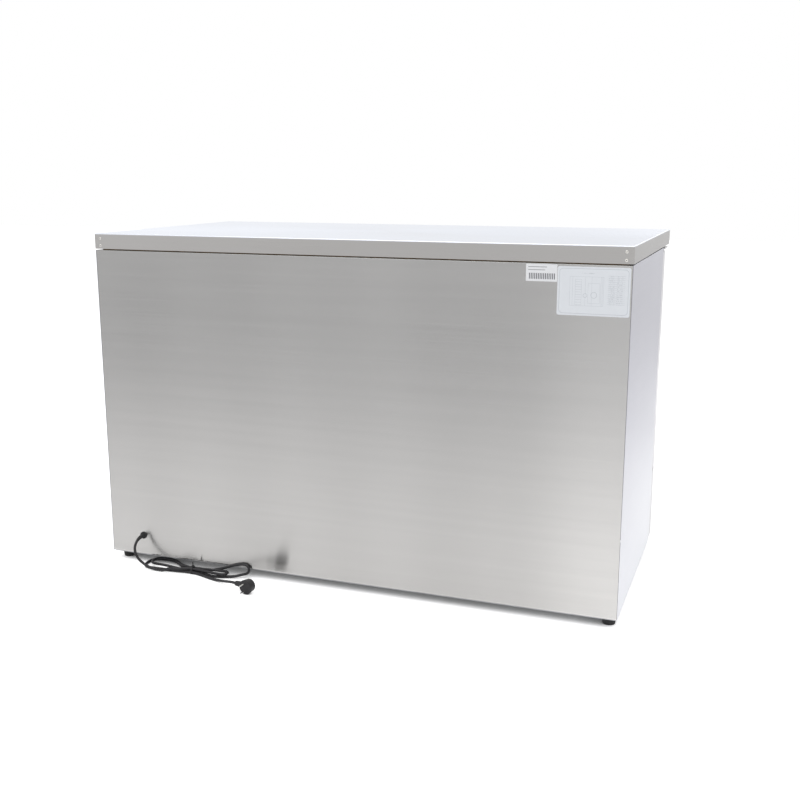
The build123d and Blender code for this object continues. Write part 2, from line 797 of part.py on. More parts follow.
def finned_coil(corner, width, height, depth, fin_pitch, rows):
    """Fin pack with grooved faces, and the hairpin tubes that stand out at both ends."""
    left, front, bottom = corner
    groove = fin_pitch / 2
    groove_count = int(width / fin_pitch) - 1
    centre = (left + width / 2, front + depth / 2)
    tube = pipe_diameter / 2
    row_pitch = height / (2 * rows)
    with BuildPart() as coil:
        with BuildSketch(Plane.XY.offset(bottom)):
            with Locations(centre):
                Rectangle(width, depth)
            for side in (-1, 1):
                with Locations((centre[0], centre[1] + side * depth / 2)):
                    with GridLocations(fin_pitch, 1, groove_count, 1):
                        Rectangle(groove, groove * 2, mode=Mode.SUBTRACT)
        extrude(amount=height)
        for end_x, side in ((left, -1), (left + width, 1)):
            for row in range(rows):
                row_z = bottom + row_pitch * (2 * row + 0.5)
                reach = row_pitch / 2 + tube
                with BuildSketch(Plane(origin=(end_x, centre[1], row_z), x_dir=(0, 1, 0), z_dir=(side, 0, 0))):
                    Circle(tube)
                with BuildLine():
                    Polyline((end_x, centre[1], row_z), (end_x + side * reach, centre[1], row_z))
                    TangentArc(
                        (end_x + side * reach, centre[1], row_z),
                        (end_x + side * reach, centre[1], row_z + row_pitch),
                        tangent=(side, 0, 0),
                    )
                    Polyline(
                        (end_x + side * reach, centre[1], row_z + row_pitch),
                        (end_x, centre[1], row_z + row_pitch),
                    )
                sweep()
    return coil


# Evaporator unit: housing with a fan opening in front, open at the back, coil behind the fan
evaporator_front = liner_back - evaporator_back_gap - evaporator_depth
evaporator_top = liner_ceiling
evaporator_bottom = evaporator_top - evaporator_height
evaporator_mid_z = (evaporator_top + evaporator_bottom) / 2
evaporator_plane = Plane(
    origin=(0, evaporator_front, evaporator_mid_z), x_dir=(1, 0, 0), z_dir=(0, -1, 0)
)
evaporator_opening = evaporator_fan_diameter / 2 + fan_tip_clearance
evaporator_motor_depth = 26
guard_bar = 2.4
guard_pitch = 12
guard_count = int(2 * evaporator_opening / guard_pitch)
with BuildPart() as evaporator_housing:
    with BuildSketch(evaporator_plane):
        Rectangle(evaporator_width, evaporator_height)
    extrude(amount=-evaporator_depth)
    with BuildSketch(evaporator_plane.offset(-evaporator_sheet)):
        Rectangle(evaporator_width - 2 * evaporator_sheet, evaporator_height - 2 * evaporator_sheet)
    extrude(amount=-evaporator_depth, mode=Mode.SUBTRACT)
    with BuildSketch(evaporator_plane):
        Circle(evaporator_opening)
    extrude(amount=-2 * evaporator_sheet, mode=Mode.SUBTRACT)
    with BuildSketch(evaporator_plane):
        with GridLocations(guard_pitch, 1, guard_count, 1):
            Rectangle(guard_bar, 2 * evaporator_opening + guard_pitch)
        Circle(evaporator_opening + guard_bar, mode=Mode.INTERSECT)
    extrude(amount=-evaporator_sheet)
    with BuildSketch(evaporator_plane.offset(-evaporator_depth)):
        with Locations((0, evaporator_coil_setback / 2 - evaporator_height / 2)):
            Rectangle(evaporator_width, evaporator_sheet * 2)
    extrude(amount=evaporator_sheet)
    drain_x = pipe_chase_width / 2 - drain_diameter / 2 - core_clearance
    with BuildSketch(Plane.XY.offset(evaporator_bottom)):
        with Locations((drain_x, liner_back - evaporator_back_gap - evaporator_coil_setback / 2)):
            Circle(drain_diameter / 2 + core_clearance)
    extrude(amount=2 * evaporator_sheet, mode=Mode.SUBTRACT)

coil_front = evaporator_front + evaporator_depth - evaporator_coil_setback - evaporator_coil_depth
evaporator_coil = finned_coil(
    (-evaporator_coil_width / 2, coil_front, evaporator_bottom + 2 * evaporator_sheet),
    evaporator_coil_width,
    evaporator_coil_height,
    evaporator_coil_depth,
    8,
    2,
)

rotor_depth = 20
evaporator_rotor_plane = evaporator_plane.offset(-evaporator_sheet - rotor_depth)
evaporator_fan_rotor = fan_rotor(
    evaporator_rotor_plane, evaporator_fan_diameter, 16, rotor_depth, 5, 2.5 + core_clearance
)

# Motor behind the rotor on a strip fixed across the housing, its shaft inside the hub
motor_face = rotor_depth * 1.5 + evaporator_sheet + 2
with BuildPart() as evaporator_fan_motor:
    with BuildSketch(evaporator_plane.offset(-motor_face)):
        Circle(evaporator_motor_diameter / 2)
    extrude(amount=-evaporator_motor_depth)
    fillet(evaporator_fan_motor.edges(), 2)
    with BuildSketch(evaporator_plane.offset(-motor_face - evaporator_motor_depth / 2)):
        Rectangle(12, evaporator_height - 2 * evaporator_sheet)
    extrude(amount=-evaporator_motor_depth / 2)
    with BuildSketch(evaporator_plane.offset(-motor_face)):
        Circle(2.5)
    extrude(amount=rotor_depth * 1.4)

# Condensing unit on its own tray in the machine compartment
unit_right = body_half - unit_right_inset
unit_left = unit_right - unit_width
unit_front = base_front + unit_front_inset
unit_back = unit_front + unit_depth
unit_floor = body_bottom + unit_sheet
with BuildPart() as unit_base:
    with BuildSketch(Plane.XY.offset(body_bottom)):
        with Locations(((unit_left + unit_right) / 2, (unit_front + unit_back) / 2)):
            Rectangle(unit_width, unit_depth)
    extrude(amount=unit_rim)
    with BuildSketch(Plane.XY.offset(unit_floor)):
        with Locations(((unit_left + unit_right) / 2, (unit_front + unit_back) / 2)):
            Rectangle(unit_width - 2 * unit_sheet, unit_depth - 2 * unit_sheet)
    extrude(amount=unit_rim, mode=Mode.SUBTRACT)

condenser_left = unit_left + condenser_side_gap
condenser_front = unit_front + unit_sheet + core_clearance
condenser_coil = finned_coil(
    (condenser_left, condenser_front, unit_floor),
    condenser_width,
    condenser_height,
    condenser_depth,
    8,
    3,
)

condenser_centre = condenser_left + condenser_width / 2
shroud_front = condenser_front + condenser_depth
condenser_plane = Plane(
    origin=(condenser_centre, shroud_front + shroud_depth, unit_floor + condenser_height / 2),
    x_dir=(-1, 0, 0),
    z_dir=(0, 1, 0),
)
shroud_opening = condenser_fan_diameter / 2 + fan_tip_clearance
fan_gap = rotor_depth / 2
condenser_motor_depth = 40
with BuildPart() as condenser_shroud:
    with BuildSketch(condenser_plane.offset(-shroud_depth)):
        Rectangle(condenser_width, condenser_height)
    extrude(amount=shroud_depth)
    with BuildSketch(condenser_plane.offset(-shroud_depth)):
        Rectangle(condenser_width - 2 * shroud_sheet, condenser_height - 2 * shroud_sheet)
    extrude(amount=shroud_depth - shroud_sheet, mode=Mode.SUBTRACT)
    with BuildSketch(condenser_plane):
        Circle(shroud_opening)
    extrude(amount=-shroud_depth, mode=Mode.SUBTRACT)

condenser_fan_rotor = fan_rotor(
    condenser_plane.offset(-rotor_depth), condenser_fan_diameter, 22, rotor_depth, 5, 3 + core_clearance
)

# Motor on a bridge that stands on the tray behind the shroud
bridge_width = 30
with BuildPart() as condenser_fan_motor:
    with BuildSketch(condenser_plane.offset(fan_gap)):
        Circle(condenser_motor_diameter / 2)
    extrude(amount=condenser_motor_depth)
    fillet(condenser_fan_motor.edges(), 3)
    with BuildSketch(condenser_plane.offset(fan_gap)):
        Circle(3)
    extrude(amount=-fan_gap - rotor_depth * 1.4)
    with BuildSketch(condenser_plane.offset(fan_gap + condenser_motor_depth / 2)):
        with Locations((0, -condenser_height / 4)):
            Rectangle(bridge_width, condenser_height / 2)
    extrude(amount=condenser_motor_depth / 4)

# Hermetic compressor: two pressed shells joined at a welded rim, standing on rubber mounts
compressor_radius = compressor_diameter / 2
compressor_floor = unit_floor + mount_height
shell_seam = compressor_height * 0.52
foot_reach = compressor_foot_spacing / 2
mount_points = [
    (compressor_x + x * foot_reach, compressor_y + y * foot_reach) for x in (-1, 1) for y in (-1, 1)
]
compressor_plane = Plane(origin=(compressor_x, compressor_y, compressor_floor))
stub_heights = [compressor_height * 0.3, compressor_height * 0.7]
with BuildPart() as compressor:
    with BuildSketch(compressor_plane):
        Circle(compressor_radius)
    extrude(amount=compressor_height)
    fillet(compressor.edges().group_by(Axis.Z)[-1], compressor_radius * 0.55)
    fillet(compressor.edges().group_by(Axis.Z)[0], compressor_radius * 0.2)
    with BuildSketch(compressor_plane.offset(shell_seam)):
        Circle(compressor_radius + 4)
    extrude(amount=5)
    with BuildSketch(compressor_plane):
        RectangleRounded(compressor_foot_spacing + 30, compressor_foot_spacing + 30, 12)
        with GridLocations(compressor_foot_spacing, compressor_foot_spacing, 2, 2):
            Circle(mount_neck / 2 + core_clearance, mode=Mode.SUBTRACT)
    extrude(amount=3)
    with BuildSketch(compressor_plane.offset(compressor_height * 0.25)):
        with Locations((compressor_radius, 0)):
            Rectangle(36, 56)
    extrude(amount=compressor_height * 0.4)
    for stub_height in stub_heights:
        with BuildSketch(Plane(origin=(compressor_x, compressor_y, compressor_floor + stub_height), z_dir=(-1, 0, 0))):
            Circle(pipe_diameter / 2)
        extrude(amount=compressor_radius + 12)

with BuildPart() as compressor_mounts:
    with BuildSketch(Plane.XY.offset(unit_floor)):
        with Locations(*mount_points):
            Circle(mount_diameter / 2)
    extrude(amount=mount_height)
    with BuildSketch(Plane.XY.offset(compressor_floor)):
        with Locations(*mount_points):
            Circle(mount_neck / 2)
    extrude(amount=6)

# Pipes: each route ends square on the stub or coil that it meets
compressor_stub_x = compressor_x - compressor_radius - 12
chase_xs = [drain_x - 18, drain_x - 34]
evaporator_back = coil_front + evaporator_coil_depth
suction_z = compressor_floor + stub_heights[1]
discharge_z = compressor_floor + stub_heights[0]
pipe_top = chase_top - pipe_chase_width / 4
pipe_gap = pipe_diameter + 6
pipe_routes = [
    [
        (compressor_stub_x, compressor_y, suction_z),
        (chase_xs[1] + pipe_gap, compressor_y, suction_z),
        (chase_xs[1] + pipe_gap, chase_y, suction_z),
        (chase_xs[1] + pipe_gap, chase_y, pipe_top - pipe_gap),
        (chase_xs[1] + pipe_gap, evaporator_back, pipe_top - pipe_gap),
    ],
    [
        (compressor_stub_x, compressor_y, discharge_z),
        (compressor_stub_x - 3 * pipe_gap, compressor_y, discharge_z),
        (compressor_stub_x - 3 * pipe_gap, compressor_y, unit_floor + pipe_gap),
        (compressor_stub_x - 3 * pipe_gap, shroud_front + shroud_depth + pipe_gap, unit_floor + pipe_gap),
    ],
]
with BuildPart() as refrigerant_lines:
    for route in pipe_routes:
        with BuildLine() as pipe_path:
            FilletPolyline(*route, radius=pipe_bend)
        with BuildSketch(Plane(origin=route[0], z_dir=pipe_path.wire() % 0)):
            Circle(pipe_diameter / 2)
        sweep(path=pipe_path.wire())

# Drain from the evaporator tray down the chase to the evaporation tray beside the compressor
drain_y = liner_back - evaporator_back_gap - evaporator_coil_setback / 2
drain_route = [
    (drain_x, drain_y, evaporator_bottom + evaporator_sheet * 2),
    (drain_x, drain_y, chase_top - chase_window + drain_diameter),
    (drain_x, chase_y, chase_top - chase_window + drain_diameter),
    (drain_x, chase_y, body_bottom + machine_height / 3),
]
with BuildPart() as drain_pipe:
    with BuildLine() as drain_path:
        FilletPolyline(*drain_route, radius=drain_diameter / 2 + 1)
    with BuildSketch(Plane(origin=drain_route[0], z_dir=(0, 0, -1))):
        Circle(drain_diameter / 2)
        Circle(drain_diameter / 2 - 1.5, mode=Mode.SUBTRACT)
    sweep(path=drain_path.wire())

# Electrical box on the back panel round the mains inlet
with BuildPart() as electrical_box:
    with BuildSketch(body_back_plane.offset(-panel_sheet)):
        with Locations((-inlet_x, inlet_height)):
            Rectangle(box_width, box_height)
    extrude(amount=-box_depth)
    with BuildSketch(body_back_plane.offset(-panel_sheet - bezel_wall)):
        with Locations((-inlet_x, inlet_height)):
            Rectangle(box_width - 2 * bezel_wall, box_height - 2 * bezel_wall)
    extrude(amount=-box_depth + 2 * bezel_wall, mode=Mode.SUBTRACT)
    with BuildSketch(body_back_plane):
        with Locations((-inlet_x, inlet_height)):
            Circle(grommet_neck / 2 + grommet_clearance)
    extrude(amount=-2 * bezel_wall - panel_sheet, mode=Mode.SUBTRACT)

inlet_plane = Plane(origin=(inlet_x, body_back, inlet_height), x_dir=(-1, 0, 0), z_dir=(0, 1, 0))
with BuildPart() as cord_grommet:
    with BuildSketch(inlet_plane):
        Circle(grommet_flange / 2)
    extrude(amount=grommet_flange_depth)
    fillet(cord_grommet.edges().group_by(Axis.Y)[-1], 1.5)
    with BuildSketch(inlet_plane):
        Circle(grommet_neck / 2)
    extrude(amount=-panel_sheet - 2 * bezel_wall)

service_return = body_front - door_front - bracket_sheet - service_gap

# Service panel: folded sheet with rows of pressed louvres before the condenser and for the outlet
service_half = doors_half
service_height = machine_height - service_top_gap - 2
service_bottom = machine_top - service_top_gap - service_height
louvre_zs = [service_bottom + louvre_pitch * (i + 1.6) for i in range(louvre_rows)]
column_pitch = louvre_length + louvre_column_gap
louvre_fields = [condenser_centre, exhaust_centre]
louvre_xs = [
    field + (i - (louvre_columns - 1) / 2) * column_pitch
    for field in louvre_fields
    for i in range(louvre_columns)
]
louvre_points = [(x, z) for x in louvre_xs for z in louvre_zs]
bezel_z = (service_bottom + machine_top) / 2
with BuildPart() as service_panel:
    with BuildSketch(front_plane):
        with Locations((0, service_bottom + service_height / 2)):
            Rectangle(2 * service_half, service_height)
    extrude(amount=-service_return)
    with BuildSketch(front_plane.offset(-service_sheet)):
        with Locations((0, service_bottom + service_height / 2)):
            Rectangle(2 * (service_half - service_sheet), service_height - 2 * service_sheet)
    extrude(amount=-service_return, mode=Mode.SUBTRACT)
    with BuildSketch(front_plane.offset(-panel_return)):
        with Locations((0, service_bottom + service_height / 2)):
            Rectangle(2 * (service_half - service_sheet), service_height)
    extrude(amount=-service_return, mode=Mode.SUBTRACT)
    with BuildSketch(front_plane):
        with Locations(*louvre_points):
            Rectangle(louvre_length - 2 * service_sheet, louvre_slot, align=(Align.CENTER, Align.MIN))
        with Locations((bezel_centre, bezel_z)):
            Rectangle(
                bezel_width - 2 * bezel_body_inset + 2 * bezel_clearance,
                bezel_height - 2 * bezel_body_inset + 2 * bezel_clearance,
            )
    extrude(amount=-2 * service_sheet, mode=Mode.SUBTRACT)
    for louvre_x in louvre_xs:
        louvre_start = Plane(
            origin=(louvre_x - louvre_length / 2, door_front, 0), x_dir=(0, 1, 0), z_dir=(1, 0, 0)
        )
        hood_points = [(0, z) for z in louvre_zs]
        with BuildSketch(louvre_start):
            with Locations(*hood_points):
                Circle(louvre_depth)
                Circle(louvre_depth - service_sheet, mode=Mode.SUBTRACT)
            with Locations(*hood_points):
                Rectangle(louvre_depth, louvre_depth, align=(Align.MAX, Align.MIN), mode=Mode.INTERSECT)
        extrude(amount=louvre_length)
        for cap_start in (0, louvre_length - service_sheet):
            with BuildSketch(louvre_start.offset(cap_start)):
                with Locations(*hood_points):
                    Circle(louvre_depth)
                with Locations(*hood_points):
                    Rectangle(louvre_depth, louvre_depth, align=(Align.MAX, Align.MIN), mode=Mode.INTERSECT)
            extrude(amount=service_sheet)

# Control bezel with a window step, three keys and the rocker switch
bezel_plane = Plane(origin=(bezel_centre, door_front, bezel_z), x_dir=(1, 0, 0), z_dir=(0, -1, 0))
button_points = [
    (button_row_centre + (i - (len(button_names) - 1) / 2) * button_pitch, button_row_drop)
    for i in range(len(button_names))
]
with BuildPart() as control_bezel:
    with BuildSketch(bezel_plane):
        RectangleRounded(bezel_width, bezel_height, 4)
    extrude(amount=bezel_flange)
    fillet(control_bezel.edges().group_by(Axis.Y)[0], 1)
    with BuildSketch(bezel_plane):
        Rectangle(bezel_width - 2 * bezel_body_inset, bezel_height - 2 * bezel_body_inset)
    extrude(amount=-bezel_body_depth)
    with BuildSketch(bezel_plane.offset(-bezel_wall)):
        Rectangle(
            bezel_width - 2 * (bezel_body_inset + bezel_wall),
            bezel_height - 2 * (bezel_body_inset + bezel_wall),
        )
    extrude(amount=-bezel_body_depth + 2 * bezel_wall, mode=Mode.SUBTRACT)
    with BuildSketch(bezel_plane.offset(bezel_flange)):
        with Locations(*button_points):
            Rectangle(button_width + 2 * button_clearance, button_height + 2 * button_clearance)
        with Locations((switch_centre, 0)):
            Rectangle(switch_width + 2 * switch_clearance, switch_height + 2 * switch_clearance)
    extrude(amount=-bezel_flange - 2 * bezel_wall, mode=Mode.SUBTRACT)

# Keys: caps with a collar that stays behind the bezel
buttons = {}
for button_name, button_point in zip(button_names, button_points):
    with BuildPart() as button:
        with BuildSketch(bezel_plane.offset(bezel_flange + button_proud)):
            with Locations(button_point):
                Rectangle(button_width, button_height)
        extrude(amount=-bezel_flange - button_proud - bezel_wall - button_clearance)
        fillet(button.edges().group_by(Axis.Y)[0], 0.6)
        with BuildSketch(bezel_plane.offset(-bezel_wall - button_clearance)):
            with Locations(button_point):
                Rectangle(button_width + 2, button_height + 2)
        extrude(amount=-1.5)
        with BuildSketch(bezel_plane.offset(-bezel_wall - button_clearance)):
            with Locations(button_point):
                Rectangle(5, 5)
        extrude(amount=-button_stem)
    buttons[f"button_{button_name}"] = button

# Rocker: its rounded back turns in the bezel, its face is dished between two raised ends
switch_pivot = bezel_plane.offset(-bezel_wall - 5)
switch_plane = Plane(origin=switch_pivot.origin + Vector(switch_centre, 0, 0), x_dir=(0, 0, 1), z_dir=(1, 0, 0))
with BuildPart() as power_switch:
    with BuildSketch(switch_plane.offset(-switch_width / 2)):
        with BuildLine():
            face_reach = bezel_flange + bezel_wall + 5 + button_proud
            half = switch_height / 2 - 1
            Polyline((-half, face_reach), (-half, 0), (half, 0), (half, face_reach))
            ThreePointArc((half, face_reach), (0, face_reach - 2), (-half, face_reach))
        make_face()
    extrude(amount=switch_width)


def corner_radii(points):
    """Largest tangent arcs that fit between the runs of a cord's route."""
    radii = []
    for before, corner, after in zip(points, points[1:], points[2:]):
        run_in = Vector(*corner) - Vector(*before)
        run_out = Vector(*after) - Vector(*corner)
        half_turn = radians(run_in.get_angle(run_out)) / 2
        radii.append(0.45 * min(run_in.length, run_out.length) / tan(half_turn))
    return radii


def cord_tube(points, label):
    """Round cord along straight runs joined by tangent arcs."""
    radii = corner_radii(points)
    with BuildPart() as tube:
        with BuildLine() as route:
            FilletPolyline(*points, radius=radii)
        route_wire = route.wire()
        with BuildSketch(Plane(origin=points[0], z_dir=route_wire % 0)):
            Circle(cord_diameter / 2)
        sweep(path=route_wire)
    section = pi * cord_diameter**2 / 4
    print(label, "length", round(route_wire.length, 1), "radii", [round(r, 1) for r in radii])
    print(label, "volume", round(tube.part.volume), "section x length", round(section * route_wire.length))
    return tube


def biarc(start, start_tangent, end, end_tangent):
    """Point where two arcs meet that leave start and reach end along the given tangents."""
    span = end - start
    tangent_sum = start_tangent + end_tangent
    bend = 2 * (1 - start_tangent.dot(end_tangent))
    along = span.dot(tangent_sum)
    if bend < 1e-9:
        reach = span.dot(span) / (4 * span.dot(start_tangent))
    else:
        reach = (sqrt(along**2 + bend * span.dot(span)) - along) / bend
    return (start + start_tangent * reach + end - end_tangent * reach) * 0.5


# Hank: five passes through the tied waist, two turns at each end, the last pass leaving to the plug
cord_radius = cord_diameter / 2
lane = cord_diameter + hank_gap
waist_x, waist_y = hank_waist
waist_low = hank_floor_gap + cord_radius
waist_high = waist_low + lane
rest_z = cord_radius + core_clearance
leftward = (-1, 0, 0)
rightward = (1, 0, 0)
hank_start = (515, 392, 5)
hank_end_point = (380, 388, 4.2)
hank_end_heading = (-0.94, 0.34, 0)
hank_stations = [
    ((507, 392, 5), leftward),
    ((472, 391, waist_high + 0.5), leftward),
    ((waist_x, waist_y + lane / 2, waist_high), leftward),
    ((335, 381, 12.5), leftward),
    ((335, 361, 12.5), rightward),
    ((waist_x, waist_y - lane / 2, waist_high), rightward),
    ((533, 328, 11.7), rightward),
    ((533, 372, 11.7), leftward),
    ((waist_x, waist_y, waist_low), leftward),
    ((340, 378, rest_z), (-0.97, -0.24, 0)),
    ((290, 362, 11), (-0.82, -0.4, 0.41)),
    ((269, 354.2, 24), (0, 0, 1)),
    ((285, 353.6, 34), rightward),
    ((330, 353.6, 22), (0.93, 0, -0.37)),
    ((378, 355.5, 8), (0.96, 0.12, -0.2)),
    ((waist_x, waist_y - lane, waist_low), rightward),
    ((540, 317, rest_z), rightward),
    ((540, 383, rest_z), leftward),
    ((waist_x, waist_y + lane, waist_low), leftward),
    (hank_end_point, hank_end_heading),
]
end_heading = Vector(*hank_end_heading).normalized()
hank_end = Vector(*hank_end_point) + end_heading * (cord_diameter + 1)
with BuildPart() as cord_hank:
    with BuildLine() as hank_path:
        Line(hank_start, hank_stations[0][0])
        for (point, heading), (next_point, next_heading) in zip(hank_stations, hank_stations[1:]):
            arc_start, arc_end = Vector(*point), Vector(*next_point)
            heading_in = Vector(*heading).normalized()
            heading_out = Vector(*next_heading).normalized()
            middle = biarc(arc_start, heading_in, arc_end, heading_out)
            first_arc = TangentArc(arc_start, middle, tangent=heading_in)
            TangentArc(middle, arc_end, tangent=first_arc % 1)
        Line(hank_end_point, hank_end)
    with BuildSketch(Plane(origin=hank_start, z_dir=leftward)):
        Circle(cord_radius)
    sweep(path=hank_path.wire())

# Least gap of the hank to itself, between points further apart along the cord than its bends
sample_step = 2.5
hank_wire = hank_path.wire()
hank_length = hank_wire.length
sample_count = int(hank_length / sample_step)
samples = [hank_wire.position_at(i / sample_count) for i in range(sample_count + 1)]
near_samples = int(7 * cord_diameter / sample_step)
least = min(
    (samples[j] - samples[i]).length
    for i, j in combinations(range(len(samples)), 2)
    if j - i > near_samples
)
print("hank length", round(hank_length, 1), "least gap", round(least - cord_diameter, 2))
print("hank volume", round(cord_hank.part.volume), "section x length", round(pi * cord_radius**2 * hank_length))

lead_route = [
    (inlet_x, body_back + grommet_flange_depth, inlet_height),
    (584, 367, 78),
    (585.5, 381, 71),
    (586.5, 390, 58),
    (583, 394, 43),
    (573, 396, 29),
    (558, 395, 17),
    (543, 393, 8.5),
    (529, 392, 5),
    hank_start,
]
power_cord = cord_tube(lead_route, "power_cord")

plug_heading = Vector(0.982, -0.19, 0).normalized()
plug_axis = Vector(0, 0, 1).cross(plug_heading)
plug_middle = Vector(*plug_centre, plug_radius + core_clearance)
arm_end = plug_middle + plug_heading * (plug_radius + plug_arm)
tail_route = [
    tuple(hank_end),
    (354, 397, 4.2),
    (331, 403, 4.6),
    (309, 412, 8.5),
    (291, 424, 14.5),
    tuple(arm_end + plug_heading * 14),
    tuple(arm_end),
]
cord_tail = cord_tube(tail_route, "cord_tail")

# Nylon tie drawn round the waist, its cut end standing up
waist_strands = [(waist_y + side * lane, waist_low) for side in (-1, 0, 1)]
waist_strands += [(waist_y + side * lane / 2, waist_high) for side in (-1, 1)]
tie_plane = Plane.YZ.offset(waist_x - tie_width / 2)
with BuildPart() as cable_tie:
    with BuildSketch(tie_plane):
        with Locations(*waist_strands):
            Circle(cord_radius + tie_clearance + tie_sheet)
        make_hull()
    extrude(amount=tie_width)
    with BuildSketch(tie_plane):
        with Locations(*waist_strands):
            Circle(cord_radius + tie_clearance)
        make_hull()
    extrude(amount=tie_width, mode=Mode.SUBTRACT)
    tie_top = waist_high + cord_radius + tie_clearance + tie_sheet / 2
    with BuildSketch(Plane.XY.offset(tie_top)):
        with Locations((waist_x, waist_y)):
            Rectangle(tie_width + 2, 6)
    extrude(amount=4)
    with BuildSketch(Plane.XY.offset(tie_top)):
        with Locations((waist_x, waist_y)):
            Rectangle(tie_width * 0.7, tie_sheet)
    extrude(amount=tie_tail)

# Angled plug standing on its rim: round body, cable arm and two pins
plug_face = Plane(origin=plug_middle + plug_axis * plug_depth / 2, x_dir=(0, 0, 1), z_dir=plug_axis)
with BuildPart() as mains_plug:
    with BuildSketch(plug_face):
        Circle(plug_radius)
    with BuildSketch(plug_face.offset(-plug_depth)):
        Circle(plug_back_radius)
    loft()
    fillet(mains_plug.edges(), 1.5)
    with BuildSketch(Plane(origin=plug_middle, z_dir=plug_heading)):
        Circle(plug_arm_radius + 2.5)
    with BuildSketch(Plane(origin=arm_end, z_dir=plug_heading)):
        Circle(plug_arm_radius)
    loft()
    with BuildSketch(plug_face):
        with Locations((plug_pin_spacing / 2, 0), (-plug_pin_spacing / 2, 0)):
            Circle(plug_pin / 2)
    extrude(amount=plug_pin_length, taper=2)

write(worktop, "worktop")
write(worktop_core, "worktop_core")
write(worktop_rivets, "worktop_rivets")
write(back_panel, "back_panel")
write(side_panel_left, "side_panel_left")
write(side_panel_right, "side_panel_right")
write(base_pan, "base_pan")
write(rubber_feet, "rubber_feet")
write(insulation_foam, "insulation_foam")
write(inner_liner, "inner_liner")
write(front_frame, "front_frame")
write(hinge_brackets_lower, "hinge_brackets_lower")
write(hinge_brackets_upper, "hinge_brackets_upper")
write(hinge_pins, "hinge_pins")
write(shelf_uprights, "shelf_uprights")
write(shelf_runners, "shelf_runners")
write(evaporator_housing, "evaporator_housing")
write(evaporator_coil, "evaporator_coil")
write(evaporator_fan_rotor, "evaporator_fan_rotor")
write(evaporator_fan_motor, "evaporator_fan_motor")
write(drain_pipe, "drain_pipe")
write(unit_base, "unit_base")
write(condenser_coil, "condenser_coil")
write(condenser_shroud, "condenser_shroud")
write(condenser_fan_rotor, "condenser_fan_rotor")
write(condenser_fan_motor, "condenser_fan_motor")
write(compressor, "compressor")
write(compressor_mounts, "compressor_mounts")
write(refrigerant_lines, "refrigerant_lines")
write(electrical_box, "electrical_box")
write(service_panel, "service_panel")
write(control_bezel, "control_bezel")
write(power_switch, "power_switch")
write(cord_grommet, "cord_grommet")
write(power_cord, "power_cord")
write(cord_hank, "cord_hank")
write(cord_tail, "cord_tail")
write(cable_tie, "cable_tie")
write(mains_plug, "mains_plug")
for label, builder in {**doors, **shelves, **buttons}.items():
    write(builder, label)
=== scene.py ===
import bpy
import bmesh
import math
from mathutils import Matrix, Vector


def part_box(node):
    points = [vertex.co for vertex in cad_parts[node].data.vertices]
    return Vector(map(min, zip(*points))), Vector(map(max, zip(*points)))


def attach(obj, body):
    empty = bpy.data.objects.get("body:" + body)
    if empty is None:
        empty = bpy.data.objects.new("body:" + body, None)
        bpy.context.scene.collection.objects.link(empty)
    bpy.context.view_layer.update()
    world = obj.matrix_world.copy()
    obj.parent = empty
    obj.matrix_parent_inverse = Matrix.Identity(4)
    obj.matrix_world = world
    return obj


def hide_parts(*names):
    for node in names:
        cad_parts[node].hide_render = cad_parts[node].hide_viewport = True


# Refrigerated counter with three doors, seen from behind
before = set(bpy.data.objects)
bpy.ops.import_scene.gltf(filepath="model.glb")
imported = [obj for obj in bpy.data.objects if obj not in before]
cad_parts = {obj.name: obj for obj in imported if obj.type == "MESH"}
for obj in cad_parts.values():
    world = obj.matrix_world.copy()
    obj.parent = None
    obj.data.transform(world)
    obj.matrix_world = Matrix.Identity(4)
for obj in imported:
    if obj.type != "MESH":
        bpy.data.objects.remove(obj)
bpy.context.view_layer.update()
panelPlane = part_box("back_panel")[1].y
print("frame loaded:", len(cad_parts), "nodes")

# Camera and light

cameraSettings = {
    "place": (-0.982, 2.633, 1.036),
    "yaw": 20.01,       # degrees, turned from straight at the back panel
    "pitch": 12.32,     # degrees, looking down
    "lens": 47.21,
    "sensor": 36,
}
yaw = math.radians(cameraSettings["yaw"])
pitch = math.radians(cameraSettings["pitch"])
cameraData = bpy.data.cameras.new("camera")
cameraData.lens = cameraSettings["lens"]
cameraData.sensor_width = cameraSettings["sensor"]
camera = bpy.data.objects.new("camera", cameraData)
bpy.context.scene.collection.objects.link(camera)
camera.location = cameraSettings["place"]
aim = Vector((math.sin(yaw) * math.cos(pitch), -math.cos(yaw) * math.cos(pitch), -math.sin(pitch)))
camera.rotation_euler = aim.to_track_quat("-Z", "Y").to_euler()
bpy.context.scene.camera = camera
bpy.context.scene.view_settings.view_transform = "Standard"

lampTarget = Vector((0, 0, 0.4))
lamps = {
    "overheadLamp": {"place": (0.4, 1.2, 3.4), "width": 2.6, "power": 34},
    "frontLamp": {"place": (-1.6, -2.6, 2.6), "width": 2.2, "power": 24},
}


def softLamp(name, place, width, power):
    lampData = bpy.data.lights.new(name, "AREA")
    lampData.shape = "SQUARE"
    lampData.size = width
    lampData.energy = power
    lamp = bpy.data.objects.new(name, lampData)
    bpy.context.scene.collection.objects.link(lamp)
    lamp.location = place
    lamp.rotation_euler = (lampTarget - Vector(place)).to_track_quat("-Z", "Y").to_euler()


for name, settings in lamps.items():
    softLamp(name, **settings)


# Shader maths: a signal is a socket that plain operators work on


def mathsNode(tree, operation, *items):
    node = tree.nodes.new("ShaderNodeMath")
    node.operation = operation
    for slot, item in enumerate(items):
        if isinstance(item, Signal):
            tree.links.new(item.socket, node.inputs[slot])
        else:
            node.inputs[slot].default_value = item
    return Signal(tree, node.outputs[0])


